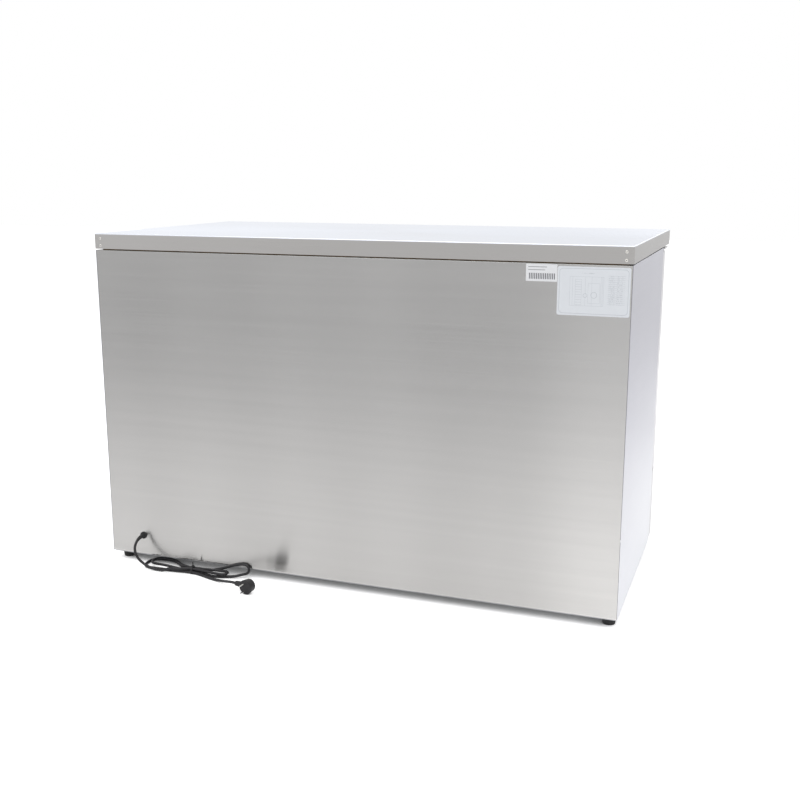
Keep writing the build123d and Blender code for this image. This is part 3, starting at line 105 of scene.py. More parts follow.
class Signal:
    def __init__(self, tree, socket):
        self.tree = tree
        self.socket = socket

    def __add__(self, other):
        return mathsNode(self.tree, "ADD", self, other)

    def __radd__(self, other):
        return mathsNode(self.tree, "ADD", other, self)

    def __sub__(self, other):
        return mathsNode(self.tree, "SUBTRACT", self, other)

    def __rsub__(self, other):
        return mathsNode(self.tree, "SUBTRACT", other, self)

    def __mul__(self, other):
        return mathsNode(self.tree, "MULTIPLY", self, other)

    def __truediv__(self, other):
        return mathsNode(self.tree, "DIVIDE", self, other)

    def __abs__(self):
        return mathsNode(self.tree, "ABSOLUTE", self)

    def __lt__(self, other):
        return mathsNode(self.tree, "LESS_THAN", self, other)

    def __gt__(self, other):
        return mathsNode(self.tree, "GREATER_THAN", self, other)

    def __mod__(self, other):
        return mathsNode(self.tree, "FLOORED_MODULO", self, other)

    def least(self, other):
        return mathsNode(self.tree, "MINIMUM", self, other)

    def most(self, other):
        return mathsNode(self.tree, "MAXIMUM", self, other)

    def sine(self):
        return mathsNode(self.tree, "SINE", self)

    def root(self):
        return mathsNode(self.tree, "SQRT", self)


def reach(first, second):
    return (first * first + second * second).root()


class Finish:
    def __init__(self, name, fixed):
        self.material = bpy.data.materials.new(name)
        self.material.use_nodes = True
        self.tree = self.material.node_tree
        self.shader = self.tree.nodes["Principled BSDF"]
        for socket, value in fixed.items():
            self.shader.inputs[socket].default_value = value
        self.place = self.add("ShaderNodeTexCoord", out="Object")

    def add(self, kind, settings=None, values=None, out=0):
        node = self.tree.nodes.new(kind)
        for key, value in (settings or {}).items():
            setattr(node, key, value)
        for key, value in (values or {}).items():
            if isinstance(value, Signal):
                self.tree.links.new(value.socket, node.inputs[key])
            else:
                node.inputs[key].default_value = value
        return Signal(self.tree, node.outputs[out])

    def axis(self, letter, vector=None):
        return self.add("ShaderNodeSeparateXYZ", {}, {0: vector or self.place}, "XYZ".index(letter))

    def moved(self, shift=(0, 0, 0), scale=(1, 1, 1)):
        return self.add("ShaderNodeMapping", {}, {"Vector": self.place, "Location": shift, "Scale": scale})

    def noise(self, scale, detail=2.0, rough=0.5):
        spots = {"Vector": self.moved(scale=scale), "Scale": 1.0, "Detail": detail, "Roughness": rough}
        return self.add("ShaderNodeTexNoise", {}, spots)

    def ease(self, signal, low, high, start=0.0, end=1.0):
        limits = {"Value": signal, "From Min": low, "From Max": high, "To Min": start, "To Max": end}
        return self.add("ShaderNodeMapRange", {"interpolation_type": "SMOOTHSTEP"}, limits)

    def mix(self, mask, first, second):
        first, second = (tone if isinstance(tone, Signal) else (*tone, 1) for tone in (first, second))
        return self.add("ShaderNodeMix", {"data_type": "RGBA"}, {0: mask, 6: first, 7: second}, 2)

    def shade(self, tone, factor):
        return self.add("ShaderNodeVectorMath", {"operation": "SCALE"}, {0: tone, "Scale": factor})

    def feed(self, socket, signal):
        self.tree.links.new(signal.socket, self.shader.inputs[socket])

    def relief(self, height, distance, strength=1.0):
        values = {"Height": height, "Distance": distance, "Strength": strength}
        self.feed("Normal", self.add("ShaderNodeBump", {}, values))


# Floor and backdrop: white for the camera, painted shade grey close under the body, and with a glow that the
# steel mirrors

floorSettings = {
    "halfWidth": 14,
    "shadowReach": 0.06,
    "shadowLimits": (0.03, 0.45),
    "shadowTone": (0.2, 0.205, 0.215),
    "openTone": (0.9, 0.9, 0.91),
    "seenGlow": 0.6,
    "mirroredGlow": 0.08,
    "wedgeGlow": 0.24,
    "wedgeSlopes": (0.25, 0.165),
    "streakCount": 55,
    "streakGlow": 0.02,
}
floorMesh = bpy.data.meshes.new("floor")
floorForm = bmesh.new()
bmesh.ops.create_grid(floorForm, x_segments=2, y_segments=2, size=floorSettings["halfWidth"])
floorForm.to_mesh(floorMesh)
floorForm.free()
floor = bpy.data.objects.new("floor", floorMesh)
bpy.context.scene.collection.objects.link(floor)
floorFinish = Finish("paleFloor", {"Roughness": 0.9, "Specular IOR Level": 0.1})
rays = floorFinish.tree.nodes.new("ShaderNodeLightPath")
seen = Signal(floorFinish.tree, rays.outputs["Is Camera Ray"])
mirrored = Signal(floorFinish.tree, rays.outputs["Is Glossy Ray"])
floorFinish.shader.inputs["Emission Color"].default_value = (1, 1, 1, 1)
shadowReach = {"Distance": floorSettings["shadowReach"]}
skyShare = floorFinish.add("ShaderNodeAmbientOcclusion", {"samples": 16}, shadowReach, "AO")
openFloor = floorFinish.ease(skyShare, *floorSettings["shadowLimits"])
# a brighter wedge of floor, which fans out from the photograph's viewpoint as the back panel mirrors it
wedgeFoot = (cameraSettings["place"][0], 2 * panelPlane - cameraSettings["place"][1])
wedge = (floorFinish.axis("X") - wedgeFoot[0]) / (floorFinish.axis("Y") - wedgeFoot[1])
brightWedge = floorFinish.ease(wedge, *floorSettings["wedgeSlopes"])
wedgeStreak = (wedge * floorSettings["streakCount"]).sine() * floorSettings["streakGlow"]
floorTone = floorFinish.mix(openFloor, floorSettings["shadowTone"], floorSettings["openTone"])
floorFinish.feed("Base Color", floorTone)
seenGlow = seen * openFloor * floorSettings["seenGlow"]
wedgeGlow = brightWedge * floorSettings["wedgeGlow"] + wedgeStreak + floorSettings["mirroredGlow"]
floorFinish.feed("Emission Strength", seenGlow + mirrored * wedgeGlow)
floor.data.materials.append(floorFinish.material)

# Sky: lights the object at one level, and is white for the camera and nearly so for the steel
skyLevels = {"light": 0.72, "seen": 0.3, "mirrored": 0.22}
world = bpy.data.worlds.new("studio")
bpy.context.scene.world = world
world.use_nodes = True
sky = world.node_tree.nodes["Background"]
paths = world.node_tree.nodes.new("ShaderNodeLightPath")
cameraSky, glassSky, glossySky = (
    Signal(world.node_tree, paths.outputs[f"Is {kind} Ray"]) for kind in ("Camera", "Transmission", "Glossy")
)
sky.inputs["Color"].default_value = (1, 1, 1, 1)
skyExtra = cameraSky.most(glassSky) * skyLevels["seen"] + glossySky * skyLevels["mirrored"]
skyStrength = (skyExtra + skyLevels["light"]).least(1.0)
world.node_tree.links.new(skyStrength.socket, sky.inputs["Strength"])
print("camera, floor and light made")


# Finishes


def dress(material, nodes):
    for name in nodes:
        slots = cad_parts[name].data.materials
        slots.clear()
        slots.append(material)


def sides(name):
    return [f"{name}_{side}" for side in ("left", "middle", "right")]


# Brushed steel: brush is the axis that the hairlines run along, and low and high the tones over the height, a
# painted reflection that is brighter at the bottom and darker at the top
# painted highlight on the back panel's bottom hem
paintedHemHighlight = 0.16
# painted reflection: the first tone lights the doors' lower part, the second shades their top
doorLitAndShadedTones = ((0.66, 0.66, 0.67), (0.60, 0.60, 0.61))
insideTone = (0.74, 0.74, 0.75)
steels = {
    "backSteel": {
        "brush": "X", "low": (0.65, 0.64, 0.625), "high": (0.445, 0.44, 0.435), "paintedReflectionSpan": (0.03, 0.72),
        "rough": 0.21, "streak": 0.08, "hem": 0.0295, "pull": 0.92, "nodes": ["back_panel"],
    },
    "sideSteel": {
        "brush": "Y", "low": (0.79, 0.80, 0.835), "high": (0.475, 0.475, 0.53), "paintedReflectionSpan": (0.05, 0.6),
        "rough": 0.34, "streak": 0.03, "nodes": ["side_panel_left", "side_panel_right"],
    },
    "doorSteel": {
        "brush": "Z", "low": doorLitAndShadedTones[0], "high": doorLitAndShadedTones[1], "paintedReflectionSpan": (0.2, 0.85),
        "rough": 0.28, "nodes": sides("door_skin"),
    },
    "frontSteel": {
        "brush": "X", "low": doorLitAndShadedTones[0], "rough": 0.28, "nodes": ["service_panel", "front_frame"],
    },
    "linerSteel": {
        "brush": "X", "low": insideTone, "rough": 0.34, "streak": 0.03,
        "nodes": ["inner_liner", *sides("door_liner")],
    },
    "fittingSteel": {
        "brush": "Z", "low": (0.58, 0.58, 0.58), "rough": 0.32, "streak": 0.04,
        "nodes": [
            "shelf_uprights", "shelf_runners", "hinge_brackets_lower", "hinge_brackets_upper", "hinge_pins",
        ],
    },
    "gripAlloy": {
        "brush": "X", "low": (0.60, 0.60, 0.61), "rough": 0.36, "streak": 0.03, "nodes": sides("door_grip"),
    },
}


def brushedSteel(name, brush, low, rough, nodes, high=None, paintedReflectionSpan=(0, 1), streak=0.05, hem=None, pull=0.55):
    finish = Finish(name, {"Metallic": 1.0, "Anisotropic": pull, "Anisotropic Rotation": 0.25})
    hairlines = finish.noise([2.5 if letter == brush else 700 for letter in "XYZ"], 3.0, 0.62)
    drawn = finish.noise([0.7 if letter == brush else 46 for letter in "XYZ"])
    cloud = finish.noise((5, 5, 1.2), 2.0, 0.4)
    # painted reflection: the colour runs from the lit low tone at the bottom to the shaded high tone at the
    # top
    tone = low if high is None else finish.mix(finish.ease(finish.axis("Z"), *paintedReflectionSpan), low, high)
    factor = 1 + (hairlines - 0.5) * streak * 2 + (drawn - 0.5) * streak + (cloud - 0.5) * 0.06
    # painted highlight: the strip below the hem line is brightened in colour
    if hem:
        hemEdge = finish.ease(finish.axis("Z"), hem + 0.001, hem - 0.001)
        factor = factor * (hemEdge * paintedHemHighlight + 1)
    finish.feed("Base Color", finish.shade(tone, factor))
    finish.feed("Roughness", (hairlines - 0.5) * 0.14 + (cloud - 0.5) * 0.08 + rough)
    finish.relief(hairlines, 0.00003, 0.3)
    dress(finish.material, nodes)


for name, settings in steels.items():
    brushedSteel(name, **settings)

# Worktop: the same steel is painted paler on the lit top than on the shaded apron, and the whole worktop is
# painted brighter towards the cord's end as a painted reflection
worktopSteel = {
    "apron": (0.48, 0.47, 0.46),
    "top": (0.80, 0.83, 0.90),
    "edge": (0.8765, 0.8792),
    "endLightSlope": (-0.7, 0.7, 0.95, 1.08),
}
topFinish = Finish("worktopSteel", {"Metallic": 1.0, "Anisotropic": 0.4})
topGrain = topFinish.noise((2.5, 700, 700), 3.0, 0.6)
topCloud = topFinish.noise((3, 6, 6))
# painted light: lit tone on the top, shaded tone on the apron
topLevel = topFinish.ease(topFinish.axis("Z"), *worktopSteel["edge"])
topTone = topFinish.mix(topLevel, worktopSteel["apron"], worktopSteel["top"])
# painted reflection: the colour grows brighter towards the cord's end
topSlope = topFinish.ease(topFinish.axis("X"), *worktopSteel["endLightSlope"])
topFactor = topSlope + (topGrain - 0.5) * 0.08 + (topCloud - 0.5) * 0.06
topFinish.feed("Base Color", topFinish.shade(topTone, topFactor))
topFinish.feed("Roughness", (topGrain - 0.5) * 0.12 + (topCloud - 0.5) * 0.06 + 0.3)
topFinish.relief(topGrain, 0.00003, 0.5)
dress(topFinish.material, ["worktop"])

# Zinc sheet with its crystal flowers
zinc = {"tone": (0.5, 0.51, 0.53), "flowerScale": 70.0}
zincFinish = Finish("galvanisedSheet", {"Metallic": 1.0})
flowerPlace = {"Vector": zincFinish.place, "Scale": zinc["flowerScale"]}
flowers = zincFinish.add("ShaderNodeTexVoronoi", {}, flowerPlace, "Color")
flowerTone = zincFinish.axis("X", flowers)
zincGrime = zincFinish.noise((9, 9, 9), 3.0)
zincFactor = flowerTone * 0.3 + zincGrime * 0.3 + 0.7
zincFinish.feed("Base Color", zincFinish.shade(zinc["tone"], zincFactor))
zincFinish.feed("Roughness", flowerTone * 0.22 + zincGrime * 0.12 + 0.28)
dress(zincFinish.material, ["base_pan", "unit_base", "condenser_shroud"])

# Shelves: plated wire
wireTones = ((0.62, 0.63, 0.65), (0.78, 0.78, 0.79))
wireFinish = Finish("platedWire", {"Metallic": 1.0})
wireTint = wireFinish.noise((60, 60, 60))
wireFinish.feed("Base Color", wireFinish.mix(wireTint, *wireTones))
wireFinish.feed("Roughness", wireTint * 0.14 + 0.14)
dress(wireFinish.material, sides("wire_shelf"))

# Foam, with grey sealant where it shows: in the corner seams, round the pipes and at the liner's front rim
foam = {
    "tones": ((0.72, 0.60, 0.34), (0.86, 0.76, 0.50)),
    "seamSide": 0.6785,
    "chaseSide": 0.06,
    "chaseDepth": (0.28, 0.3475),
    "rimDepth": (-0.2, -0.188),
    "darkSealant": (0.16, 0.16, 0.18),
    "rimSealant": (0.50, 0.50, 0.51),
}
foamFinish = Finish("insulationFoam", {"Roughness": 0.85})
cells = foamFinish.noise((420, 420, 420), 4.0, 0.7)
rise = foamFinish.noise((9, 9, 22), 3.0, 0.6)
foamTone = foamFinish.mix(rise, *foam["tones"])
foamSide = abs(foamFinish.axis("X"))
foamDepth = foamFinish.axis("Y")
cornerSeam = foamSide > foam["seamSide"]
chaseBand = (foamDepth > foam["chaseDepth"][0]) * (foamDepth < foam["chaseDepth"][1])
pipeChase = (foamSide < foam["chaseSide"]) * chaseBand
frontRim = (foamDepth > foam["rimDepth"][0]) * (foamDepth < foam["rimDepth"][1])
sealedTone = foamFinish.mix(frontRim, foam["darkSealant"], foam["rimSealant"])
sealed = cornerSeam.most(pipeChase).most(frontRim)
foamFinish.feed("Base Color", foamFinish.mix(sealed, foamTone, sealedTone))
foamFinish.relief(cells, 0.0006, 0.7)
dress(foamFinish.material, ["insulation_foam", *sides("door_core")])

# Chipboard under the worktop
board = {"tones": ((0.36, 0.24, 0.13), (0.62, 0.46, 0.29)), "chipScale": (140, 210, 320)}
boardFinish = Finish("coreBoard", {"Roughness": 0.8})
chipPlace = {"Vector": boardFinish.moved(scale=board["chipScale"])}
chips = boardFinish.add("ShaderNodeTexVoronoi", {}, chipPlace, "Color")
boardTone = boardFinish.mix(boardFinish.axis("Y", chips), *board["tones"])
boardFinish.feed("Base Color", boardTone)
boardFinish.relief(boardFinish.axis("X", chips), 0.0003, 0.5)
dress(boardFinish.material, ["worktop_core"])

# Rubber, plastics, paint and plain metals: grain is the depth of the pits, and wear how far the tone wanders
mouldings = {
    "blackRubber": {
        "tone": (0.018, 0.018, 0.019), "rough": 0.62, "grain": 0.00006, "scale": 700, "wear": 0.25,
        "nodes": ["rubber_feet", "cord_grommet", "compressor_mounts"],
    },
    "gasketVinyl": {
        "tone": (0.46, 0.47, 0.48), "rough": 0.55, "grain": 0.00003, "scale": 500, "wear": 0.1,
        "nodes": sides("door_gasket"),
    },
    "tieNylon": {
        "tone": (0.022, 0.022, 0.024), "rough": 0.38, "grain": 0.00002, "wear": 0.1, "nodes": ["cable_tie"],
    },
    "blackPlastic": {
        "tone": (0.03, 0.03, 0.032), "rough": 0.42, "nodes": ["evaporator_fan_rotor", "evaporator_fan_motor"],
    },
    "bezelPlastic": {"tone": (0.05, 0.052, 0.058), "rough": 0.36, "nodes": ["control_bezel"]},
    "keyPlastic": {
        "tone": (0.55, 0.56, 0.58), "rough": 0.48, "nodes": ["button_set", "button_down", "button_up"],
    },
    "whitePlastic": {
        "tone": (0.80, 0.81, 0.82), "rough": 0.42, "grain": 0.00003, "scale": 600, "wear": 0.05,
        "nodes": ["evaporator_housing", "drain_pipe"],
    },
    "boxPlastic": {"tone": (0.40, 0.41, 0.43), "rough": 0.55, "nodes": ["electrical_box"]},
    "shellPaint": {
        "tone": (0.022, 0.022, 0.023), "rough": 0.34, "grain": 0.00008, "scale": 260, "wear": 0.2,
        "fixed": {"Coat Weight": 0.3}, "nodes": ["compressor"],
    },
    "motorPaint": {
        "tone": (0.20, 0.21, 0.22), "rough": 0.45, "grain": 0.00005, "scale": 400, "wear": 0.2,
        "nodes": ["condenser_fan_motor"],
    },
    "bladeAlloy": {
        "tone": (0.62, 0.63, 0.64), "rough": 0.38, "grain": 0.00003, "scale": 300, "wear": 0.1,
        "fixed": {"Metallic": 1.0}, "nodes": ["condenser_fan_rotor"],
    },
    "copperTube": {
        "tone": (0.72, 0.36, 0.22), "rough": 0.26, "grain": 0.00002, "scale": 200, "wear": 0.25,
        "fixed": {"Metallic": 1.0}, "nodes": ["refrigerant_lines"],
    },
    "cordVinyl": {"tone": (0.014, 0.013, 0.016), "rough": 0.4, "grain": 0.00003, "scale": 500, "wear": 0.3},
    "rivetAlloy": {
        "tone": (0.80, 0.78, 0.74), "rough": 0.3, "grain": 0.00002, "scale": 400, "wear": 0.1,
        "fixed": {"Metallic": 1.0},
    },
    # painted shade: the rivet bore and its sunk stem are near-black
    "rivetBoreShade": {"tone": (0.03, 0.03, 0.03), "rough": 0.6},
}


def moulded(name, tone, rough, grain=0.00004, scale=900, wear=0.15, fixed=None, nodes=()):
    finish = Finish(name, fixed or {})
    pits = finish.noise((scale, scale, scale), 2.0, 0.6)
    dust = finish.noise((14, 14, 14), 3.0, 0.55)
    finish.feed("Base Color", finish.shade(tone, 1 + (dust - 0.5) * wear * 2))
    finish.feed("Roughness", (dust - 0.5) * 0.2 + (pits - 0.5) * 0.08 + rough)
    finish.relief(pits, grain, 0.6)
    dress(finish.material, nodes)
    return finish.material


moulds = {name: moulded(name, **settings) for name, settings in mouldings.items()}

# Coils: a pack of fins across X, with the copper hairpins past its ends, and painted shade darkening the gaps
# between the fins
finPacks = {
    "evaporatorFins": {"node": "evaporator_coil", "pitchLength": 0.0035, "tone": (0.78, 0.79, 0.80)},
    "condenserFins": {"node": "condenser_coil", "pitchLength": 0.0028, "tone": (0.30, 0.30, 0.31)},
}
hairpin = {"length": 0.016, "tone": (0.70, 0.36, 0.22)}


def finPack(name, node, pitchLength, tone):
    low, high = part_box(node)
    finish = Finish(name, {"Metallic": 1.0})
    along = finish.axis("X")
    shadedFinGap = finish.ease(abs((along / pitchLength) % 1.0 - 0.5), 0.18, 0.34)
    packHalf = (high.x - low.x) / 2 - hairpin["length"]
    ends = abs(along - (low.x + high.x) / 2) > packHalf
    grime = finish.noise((30, 30, 30), 3.0, 0.6)
    # painted shade: the gaps between fins are darker in colour
    fins = finish.mix(shadedFinGap, finish.shade(tone, 0.35 + grime * 0.2), finish.shade(tone, 0.85 + grime * 0.3))
    finish.feed("Base Color", finish.mix(ends, fins, hairpin["tone"]))
    finish.feed("Roughness", 0.5 - ends * 0.2 - shadedFinGap * 0.1)
    finish.relief(shadedFinGap * (1 - ends), 0.0012, 0.8)
    dress(finish.material, [node])


for name, settings in finPacks.items():
    finPack(name, **settings)

# Rocker: dark green lens, with a plain bar above its middle and a ring below
rocker = {
    "centre": (0.61, 0.1225),
    "tone": (0.02, 0.16, 0.045),
    "markTone": (0.85, 0.86, 0.84),
    "markLift": 0.0065,
    "barHalf": (0.0006, 0.0022),
    "ringRadius": 0.0021,
    "ringPen": 0.0005,
}
rockerFinish = Finish("rockerLens", {"Roughness": 0.28, "Coat Weight": 0.5})
rockerX = rockerFinish.axis("X") - rocker["centre"][0]
rockerZ = rockerFinish.axis("Z") - rocker["centre"][1]
barHeight = abs(rockerZ - rocker["markLift"]) < rocker["barHalf"][1]
bar = (abs(rockerX) < rocker["barHalf"][0]) * barHeight
ringReach = reach(rockerX, rockerZ + rocker["markLift"])
ring = abs(ringReach - rocker["ringRadius"]) < rocker["ringPen"]
lens = rockerFinish.noise((120, 120, 120))
lensTone = rockerFinish.shade(rocker["tone"], lens * 0.3 + 0.85)
rockerFinish.feed("Base Color", rockerFinish.mix(bar.most(ring), lensTone, rocker["markTone"]))
rockerFinish.relief(lens, 0.00003, 0.5)
dress(rockerFinish.material, ["power_switch"])

# Plug: black vinyl body, with nickel pins past its face
plug = {
    "centre": (0.222, 0.443, 0.0193),
    "facing": (0.19, 0.9818, 0.0),
    "faceDepth": 0.0112,
    "bodyTone": (0.016, 0.015, 0.018),
    "pinTone": (0.78, 0.78, 0.76),
}
plugFinish = Finish("plugVinyl", {})
plugPlace = plugFinish.moved(shift=[-part for part in plug["centre"]])
facingValues = {0: plugPlace, 1: plug["facing"]}
facing = plugFinish.add("ShaderNodeVectorMath", {"operation": "DOT_PRODUCT"}, facingValues, "Value")
pinMask = facing > plug["faceDepth"]
vinylGrain = plugFinish.noise((800, 800, 800), 2.0, 0.6)
plugFinish.feed("Base Color", plugFinish.mix(pinMask, plug["bodyTone"], plug["pinTone"]))
plugFinish.feed("Metallic", pinMask)
plugFinish.feed("Roughness", 0.42 - pinMask * 0.24 + (vinylGrain - 0.5) * 0.1)
plugFinish.relief(vinylGrain * (1 - pinMask), 0.00005, 0.6)
dress(plugFinish.material, ["mains_plug"])
print("finishes made")


# Mains cord: lead, tied hank and tail on one line, the route's points in metres

cord = {
    "diameter": 0.007,
    "length": 1.61,
    "exit": (0.584, 0.3525, 0.078),
    "route": [
        (0.584, 0.3525, 0.078), (0.584, 0.367, 0.078), (0.5855, 0.381, 0.071), (0.5865, 0.390, 0.058),
        (0.583, 0.394, 0.043), (0.573, 0.396, 0.029), (0.558, 0.395, 0.017), (0.543, 0.393, 0.0085),
        (0.529, 0.392, 0.005), (0.515, 0.392, 0.005),
        # over the waist to the small turns and back
        (0.4977, 0.392, 0.005), (0.4813, 0.391, 0.0136), (0.4582, 0.391, 0.0136), (0.4358, 0.375, 0.0131),
        (0.4001, 0.375, 0.0131), (0.3569, 0.381, 0.0125), (0.321, 0.3835, 0.0125), (0.321, 0.3585, 0.0125),
        (0.3569, 0.361, 0.0125), (0.4001, 0.367, 0.0131), (0.4532, 0.367, 0.0131), (0.5018, 0.328, 0.0117),
        (0.555, 0.328, 0.0117), (0.555, 0.372, 0.0117), (0.5051, 0.372, 0.0117), (0.4499, 0.371, 0.0051),
        (0.4009, 0.371, 0.0051), (0.3605, 0.3831, 0.0038), (0.3269, 0.3748, 0.0038), (0.301, 0.3674, 0.0055),
        # the loop that leans on the panel
        (0.284, 0.360, 0.0095), (0.266, 0.3544, 0.014), (0.2645, 0.354, 0.032), (0.281, 0.3536, 0.037),
        (0.299, 0.3536, 0.033), (0.3191, 0.3536, 0.0264), (0.3417, 0.3536, 0.0174), (0.3658, 0.354, 0.0105),
        (0.389, 0.3569, 0.0057), (0.4107, 0.363, 0.0051), (0.456, 0.363, 0.0051), (0.506, 0.317, 0.0038),
        (0.573, 0.317, 0.0038), (0.573, 0.383, 0.0038), (0.5105, 0.383, 0.0038), (0.4515, 0.379, 0.0051),
        (0.4112, 0.379, 0.0051), (0.3902, 0.3843, 0.0042),
        # tail to the plug
        (0.3725, 0.3907, 0.0042), (0.354, 0.397, 0.0042), (0.331, 0.403, 0.0046), (0.309, 0.412, 0.0085),
        (0.291, 0.424, 0.0145), (0.2721, 0.4333, 0.0193), (0.2583, 0.436, 0.0193),
    ],
}
cordData = bpy.data.curves.new("mainsCord", "CURVE")
cordData.dimensions = "3D"
cordSpline = cordData.splines.new("NURBS")
cordSpline.points.add(len(cord["route"]) - 1)
for point, place in zip(cordSpline.points, cord["route"]):
    point.co = (*place, 1)
cordSpline.order_u = 3
cordSpline.use_endpoint_u = True
cordSpline.resolution_u = 10
cordData.bevel_depth = cord["diameter"] / 2
cordData.bevel_resolution = 5
cordData.use_fill_caps = True
mainsCord = bpy.data.objects.new("mainsCord", cordData)
bpy.context.scene.collection.objects.link(mainsCord)
cordData.materials.append(moulds["cordVinyl"])


def centreline(data):
    bare = data.copy()
    bare.bevel_depth = 0
    holder = bpy.data.objects.new("centrelineHolder", bare)
    bpy.context.scene.collection.objects.link(holder)
    bpy.context.view_layer.update()
    mesh = bpy.data.meshes.new_from_object(holder)
    points = [vertex.co.copy() for vertex in mesh.vertices]
    bpy.data.objects.remove(holder)
    return points


def addPiece(name, form, materials):
    mesh = bpy.data.meshes.new(name)
    form.to_mesh(mesh)
    form.free()
    piece = bpy.data.objects.new(name, mesh)
    bpy.context.scene.collection.objects.link(piece)
    for material in materials:
        mesh.materials.append(material)
    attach(piece, "cabinet")
    return piece


# Strain relief: tapered ribbed sleeve over the cord's first centimetres
sleeve = {"length": 0.026, "wide": 0.0056, "thin": 0.0040, "ribs": 6, "groove": 0.88, "sides": 20}
ribStations = 4
lastStation = sleeve["ribs"] * ribStations
line = centreline(cordData)
sleeveForm = bmesh.new()
travelled = 0.0
for station in range(lastStation + 1):
    share = station / lastStation
    goal = sleeve["length"] * share
    while travelled + (line[1] - line[0]).length < goal and len(line) > 2:
        travelled += (line[1] - line[0]).length
        line.pop(0)
    run = (line[1] - line[0]).normalized()
    middle = line[0] + run * (goal - travelled)
    radius = sleeve["wide"] * (1 - share) + sleeve["thin"] * share
    if station % ribStations == ribStations // 2:
        radius *= sleeve["groove"]
    hoop = bmesh.ops.create_circle(sleeveForm, cap_ends=False, segments=sleeve["sides"], radius=radius)
    turn = Vector((0, 0, 1)).rotation_difference(run).to_matrix().to_4x4()
    bmesh.ops.transform(sleeveForm, matrix=Matrix.Translation(middle) @ turn, verts=hoop["verts"])
sleeveForm.edges.ensure_lookup_table()
bmesh.ops.bridge_loops(sleeveForm, edges=sleeveForm.edges[:])
rims = [edge for edge in sleeveForm.edges if edge.is_boundary]
bmesh.ops.holes_fill(sleeveForm, edges=rims, sides=0)
bmesh.ops.recalc_face_normals(sleeveForm, faces=sleeveForm.faces[:])
for face in sleeveForm.faces:
    face.smooth = len(face.verts) == 4
strainRelief = addPiece("strainRelief", sleeveForm, [moulds["blackRubber"]])

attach(mainsCord, "cabinet")
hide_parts("power_cord", "cord_hank", "cord_tail")
print("cord laid")

# Blind rivets with their sunk stems, the bore round each stem painted near-black as shade: the outline is
# turned about each rivet's axis
rivet = {
    "places": [(0.666, 0.867), (0.666, 0.849), (-0.666, 0.867), (-0.666, 0.849)],
    "sheetBack": 0.350,
    "stemRadius": 0.00104,
    "outline": [
        (0, -0.003), (0.0016, -0.003), (0.0016, 0), (0.0033, 0), (0.0032, 0.0004), (0.0024, 0.0008),
        (0.0014, 0.0009), (0.00105, 0.0007), (0.001, -0.0008), (0, -0.0008),
    ],
}
rivetForm = bmesh.new()
for x, z in rivet["places"]:
    corners = [
        rivetForm.verts.new((x + out, rivet["sheetBack"] + height, z)) for out, height in rivet["outline"]
    ]
    edges = [rivetForm.edges.new(pair) for pair in zip(corners, corners[1:])]
    bmesh.ops.spin(
        rivetForm,
        geom=corners + edges,
        cent=(x, 0, z),
        axis=(0, 1, 0),
        angle=math.tau,
        steps=24,
        use_merge=True,
    )
bmesh.ops.remove_doubles(rivetForm, verts=rivetForm.verts[:], dist=0.00001)
bmesh.ops.recalc_face_normals(rivetForm, faces=rivetForm.faces[:])
for face in rivetForm.faces:
    middle = face.calc_center_median()
    nearest = min(math.hypot(middle.x - x, middle.z - z) for x, z in rivet["places"])
    # the bore walls and the stem's end take the painted shade
    inShadedBore = nearest < rivet["stemRadius"] and middle.y > rivet["sheetBack"] - 0.001
    face.material_index = 1 if inShadedBore else 0
    face.smooth = True
rivetHeads = addPiece("rivetHeads", rivetForm, [moulds["rivetAlloy"], moulds["rivetBoreShade"]])
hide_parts("worktop_rivets")


# Paper labels on the back panel, with a generic wiring drawing and bars, no words

labelGap = 0.00002
labelBack = panelPlane + labelGap
millimetres = 1000


def paperForm(centre, size, radius, thickness):
    form = bmesh.new()
    bmesh.ops.create_grid(form, x_segments=1, y_segments=1, size=0.5)
    bmesh.ops.scale(form, vec=(size[0], size[1], 1), verts=form.verts[:])
    bmesh.ops.bevel(
        form, geom=form.verts[:], offset=radius, offset_type="OFFSET", segments=5,
        profile=0.5, affect="VERTICES", material=-1,
    )
    bmesh.ops.rotate(form, matrix=Matrix.Rotation(-math.pi / 2, 3, "X"), verts=form.verts[:])
    bmesh.ops.translate(form, vec=(centre[0], labelBack, centre[1]), verts=form.verts[:])
    lifted = bmesh.ops.extrude_face_region(form, geom=form.faces[:])["geom"]
    raised = [item for item in lifted if isinstance(item, bmesh.types.BMVert)]
    bmesh.ops.translate(form, vec=(0, thickness, 0), verts=raised)
    bmesh.ops.recalc_face_normals(form, faces=form.faces[:])
    return form


def printPlace(finish, centre):
    across = (centre[0] - finish.axis("X")) * millimetres
    up = (finish.axis("Z") - centre[1]) * millimetres
    return across, up


def strip(across, up, left, right, low, high):
    return (across > left) * (across < right) * (up > low) * (up < high)


def outlineOf(across, up, left, right, low, high, pen=0.4):
    hollow = strip(across, up, left + pen, right - pen, low + pen, high - pen)
    return strip(across, up, left, right, low, high) - hollow


def rows(up, phase, pitch, pen):
    return (up + phase) % pitch < pen


def paperOf(finish, tone):
    fibre = finish.noise((60, 60, 60), 3.0, 0.6)
    finish.relief(fibre, 0.00002, 0.3)
    return finish.shade(tone, fibre * 0.06 + 0.97)


